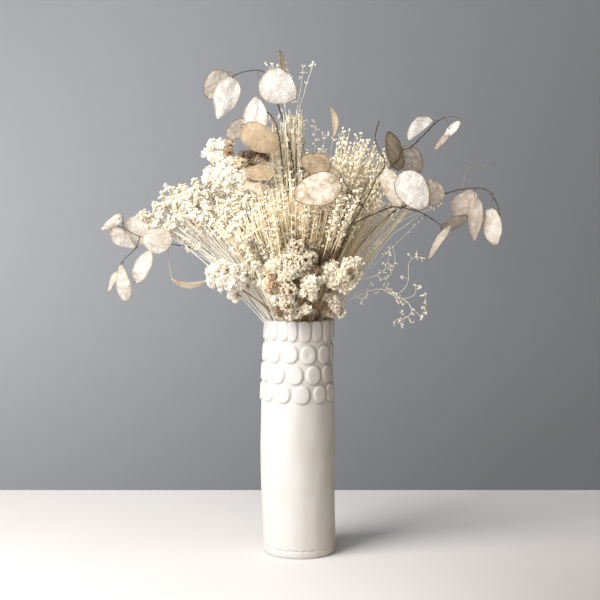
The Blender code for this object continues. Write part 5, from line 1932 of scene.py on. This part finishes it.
SPRAYS = [
    Spray("statice_far_left", (-168, -2, 122), 9, TUFTED, 41, FAR_LEFT_TUFTS),
    Spray("statice_left_front", (-124, -56, 120), 11, TUFTED, 42, LEFT_FRONT_TUFTS),
    Spray("statice_left_back", (-116, 56, 146), 11, STATICE, 43),
    Spray("statice_left_upper", (-116, 4, 160), 10, STATICE, 44),
    Spray("statice_crown_left", (-68, 26, 184), 11, STATICE, 45),
    Spray("statice_centre_left", (-62, -64, 132), 13, FINE, 46),
    Spray("statice_centre_front", (-6, -64, 150), 13, FINE, 47, ripe=0.33),
    Spray("statice_centre", (-28, -30, 168), 11, FINE, 48, ripe=0.15),
    Spray("broom_crown_right", (40, -14, 192), 10, BROOM, 49, ripe=0.3),
    Spray("broom_upper_right", (86, 6, 202), 9, BROOM, 50, ripe=0.15),
    Spray("broom_front_right", (46, -58, 156), 11, BROOM, 51, ripe=0.3),
    Spray("broom_right", (106, -20, 154), 8, LOOSE, 52, ripe=0.15),
    Spray("broom_far_right", (138, 10, 146), 7, LOOSE, 53),
    Spray("broom_right_back", (100, 58, 150), 13, LOOSE, 54),
    Spray("straw_tall", (-14, 4, 236), 5, SprayKind.STRAW, 55, ripe=0.25),
    Spray("statice_back_left", (-82, 96, 134), 13, STATICE, 57),
    Spray("statice_back", (-16, 98, 160), 13, STATICE, 58),
    Spray("broom_back", (56, 102, 142), 13, BROOM, 59),
    Spray("broom_crown_back", (2, 52, 192), 12, BROOM, 60),
]

WISPS = [
    Wisp(
        "wisp_upper_right",
        [(40, -12, 284), (66, -10, 302), (84, -10, 308), (98, -10, 318)],
        [(98, -12, 338), (102, -10, 339), (98, -14, 334), (94, -12, 332), (99, -12, 331), (91, -12, 321),
         (94, -14, 320), (98, -10, 321), (100, -12, 319), (105, -12, 322), (87, -12, 311), (94, -12, 311),
         (143, -10, 383), (147, -10, 386), (151, -10, 384), (154, -9, 386), (146, -11, 381),
         (96, -14, 307), (100, -12, 314), (89, -12, 303), (95, -12, 304), (120, -10, 330),
         (128, -10, 332), (128, -8, 328), (134, -10, 327), (112, -10, 305), (85, -14, 342),
         (89, -12, 343), (84, -14, 345)],
        [[(93, -12, 316), (97, -12, 326), (98, -12, 337)],
         [(96, -11, 315), (103, -12, 320), (104, -12, 329), (102, -11, 338)],
         [(84, -10, 308), (92, -12, 304), (99, -11, 309), (104, -12, 319)],
         [(103, -10, 284), (115, -10, 294), (119, -10, 303), (119, -10, 314), (120, -10, 323),
          (126, -10, 328)],
         [(60, -12, 300), (70, -14, 322), (79, -14, 334), (86, -14, 342)],
         [(66, -10, 302), (84, -10, 330), (101, -10, 352), (115, -10, 362), (129, -10, 373),
          (142, -10, 380)],
         [(60, -10, 300), (74, -10, 332), (88, -10, 349), (103, -10, 363), (122, -10, 373),
          (148, -10, 383)]],
        71,
    ),
    Wisp(
        "wisp_lower_right",
        [(40, -20, 274), (64, -22, 287), (86, -22, 294), (100, -20, 288), (114, -19, 282), (121, -18, 275),
         (122, -18, 268), (116, -18, 263), (107, -18, 261)],
        [(92, -16, 298), (97, -14, 299), (96, -14, 294), (99, -18, 293), (101, -16, 291), (103, -18, 289),
         (98, -20, 290), (106, -18, 288), (108, -16, 285), (106, -20, 281), (108, -18, 278),
         (111, -18, 279), (113, -16, 277), (85, -18, 290), (78, -18, 301), (125, -16, 300),
         (130, -16, 297), (130, -14, 294), (137, -16, 290), (135, -18, 287), (138, -16, 278),
         (136, -18, 274), (137, -14, 272), (138, -16, 267), (133, -18, 264), (133, -14, 261),
         (124, -18, 271), (124, -16, 266), (112, -18, 270), (122, -18, 257), (103, -18, 257),
         (109, -18, 259), (111, -20, 256), (113, -16, 254), (67, -24, 284), (67, -24, 279),
         (71, -24, 285), (73, -24, 287)],
        [[(112, -18, 283), (122, -16, 285), (126, -16, 289), (127, -16, 294), (125, -16, 300)],
         [(121, -17, 274), (129, -16, 267), (133, -16, 264), (137, -16, 272), (138, -16, 278),
          (137, -16, 290)],
         [(54, -22, 282), (66, -24, 292), (74, -24, 295), (72, -24, 287)],
         [(107, -18, 261), (103, -18, 258)], [(118, -18, 264), (121, -18, 258)]],
        72,
    ),
    Wisp(
        "flax_tall",
        [(-6, 8, 330), (-8, 10, 400), (-10, 10, 456), (-3, 10, 480), (6, 10, 511), (14, 10, 537)],
        [(14, 10, 539), (12, 12, 537), (16, 10, 541), (4, 10, 536), (5, 12, 530), (2, 10, 524),
         (8, 10, 518), (-4, 10, 498), (-36, 6, 538), (-29, 6, 539), (-24, 8, 537), (-17, 6, 539),
         (-13, 8, 533), (-10, 8, 527), (3, 8, 481), (6, 8, 477), (2, 9, 473), (6, 8, 468), (3, 8, 462),
         (5, 9, 456), (2, 8, 450), (17, 8, 476), (14, 8, 471), (19, 9, 468), (16, 8, 462), (19, 8, 456),
         (15, 8, 452), (25, 6, 463), (28, 6, 458), (32, 6, 462), (43, 4, 462), (48, 2, 465),
         (38, 4, 456)],
        [[(2, 8, 400), (4, 8, 440), (4, 8, 480)], [(12, 8, 400), (16, 8, 440), (17, 8, 474)],
         [(16, 8, 400), (24, 7, 430), (27, 6, 456)], [(24, 6, 400), (36, 5, 430), (43, 4, 458)],
         [(-4, 10, 478), (-1, 10, 500), (2, 10, 516), (4, 10, 535)],
         [(-10, 8, 450), (-16, 8, 490), (-20, 8, 520), (-24, 8, 536)],
         [(-16, 8, 490), (-14, 8, 515), (-12, 8, 530)], [(-20, 8, 520), (-30, 7, 532), (-36, 6, 537)]],
        73, bead=(1.0, 1.65), slot="straw", stalk=FLAX_STALK,
    ),
]


# Studio


@dataclass(frozen=True)
class Lamp:
    """A soft square lamp: where it is and points, its side in metres, its watts and its tint."""

    name: str
    place: Point
    target: Point
    size: float
    power: float
    tint: Colour = (1.0, 0.985, 0.96)

    def build(self) -> None:
        """Puts the lamp up, unseen by the camera."""
        lamp = bpy.data.lights.new(self.name, "AREA")
        lamp.shape = "SQUARE"
        lamp.size = self.size
        lamp.energy = self.power
        lamp.color = self.tint
        made = placed(self.name, lamp)
        made.location = self.place
        made.rotation_euler = (Vector(self.target) - Vector(self.place)).to_track_quat("-Z", "Y").to_euler()
        made.visible_camera = False


@dataclass
class Studio:
    """The white table, the grey-blue cloth behind it, the soft lamps and the camera."""

    table_back: float = 0.309
    table_size: tuple[float, float, float] = (4.4, 3.2, 0.03)
    cloth_distance: float = 2.3
    cloth_size: tuple[float, float] = (11.0, 5.0)
    cloth_foot: float = -1.3
    table_edge: float = 3 * MM
    lens: float = 78.0
    sensor: float = 36.0
    camera_place: Point = (0.000559, -1.430, 0.385456)
    camera_dip: float = 4.2
    lamps: tuple = (
        Lamp("key", (-1.0, -0.76, 1.2), (0.02, 0.0, 0.22), 1.0, 50.0),
        Lamp("wall", (-1.5, 0.9, 0.5), (-0.8, 2.3, 0.2), 0.9, 18.0),
        Lamp("fill", (-0.75, -1.75, 0.62), (0.0, 0.0, 0.33), 1.3, 18.0),
    )
    sky: Colour = (0.325, 0.325, 0.33)

    def build(self) -> None:
        """Sets up the whole studio."""
        self.add_table()
        self.add_cloth()
        for lamp in self.lamps:
            lamp.build()
        self.add_sky()
        self.add_camera()

    def add_table(self) -> None:
        """Makes the table's top, with its back edge a little behind the vase."""
        wide, deep, thick = self.table_size
        back, front = self.table_back, self.table_back - deep
        corners = [(x, y, z) for z in (0, -thick) for x, y in
                   ((-wide / 2, front), (wide / 2, front), (wide / 2, back), (-wide / 2, back))]
        faces = [(0, 1, 2, 3), (7, 6, 5, 4), (0, 4, 5, 1), (1, 5, 6, 2), (2, 6, 7, 3), (3, 7, 4, 0)]
        table = self.stage_piece("table", corners, faces, Tabletop("table paint"))
        bevel = table.modifiers.new("edge", "BEVEL")
        bevel.width = self.table_edge
        bevel.segments = 3

    def add_cloth(self) -> None:
        """Makes the cloth that hangs behind the table."""
        (wide, high), back, low = self.cloth_size, self.cloth_distance, self.cloth_foot
        flat = ((-wide / 2, low), (wide / 2, low), (wide / 2, low + high), (-wide / 2, low + high))
        corners = [(x, back, z) for x, z in flat]
        self.stage_piece("backcloth", corners, [(0, 1, 2, 3)], Backcloth("grey cloth"))

    @staticmethod
    def stage_piece(
        name: str, corners: Sequence[Point], faces: Sequence[Sequence[int]], finish: Finish
    ) -> Piece:
        """A plain mesh that isn't part of the object.

        Args:
            name: its name.
            corners: its points.
            faces: its faces.
            finish: its finish.

        Returns:
            The object.
        """
        mesh = bpy.data.meshes.new(name)
        mesh.from_pydata(corners, [], faces)
        mesh.materials.append(finish.material())
        made = placed(name, mesh)
        return made

    def add_sky(self) -> None:
        """Gives the room its even fill light."""
        world = bpy.data.worlds.new("room")
        world.use_nodes = True
        world.node_tree.nodes["Background"].inputs["Color"].default_value = (*self.sky, 1)
        bpy.context.scene.world = world

    def add_camera(self) -> None:
        """Puts the camera where the photograph was taken from, and keeps colours as they are."""
        lens = bpy.data.cameras.new("camera")
        lens.lens = self.lens
        lens.sensor_width = self.sensor
        camera = placed("camera", lens)
        camera.location = self.camera_place
        camera.rotation_euler = (math.radians(90 - self.camera_dip), 0, 0)
        bpy.context.scene.camera = camera
        bpy.context.scene.view_settings.view_transform = "Standard"


def main() -> None:
    """Builds the vase and everything in it, then the studio."""
    logging.basicConfig(level=logging.INFO, format="%(message)s")
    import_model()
    clearing = Clearing(HONESTY, YARROWS)
    pieces = []
    for part in [Vase(), *HONESTY, *LEAVES, *YARROWS, *WISPS]:
        pieces += part.build()
    for spray in SPRAYS:
        pieces += spray.build(clearing)
    log.info("all pieces: %d triangles", sum(len(piece.data.polygons) for piece in pieces))
    Studio().build()


if __name__ == "__main__":
    main()
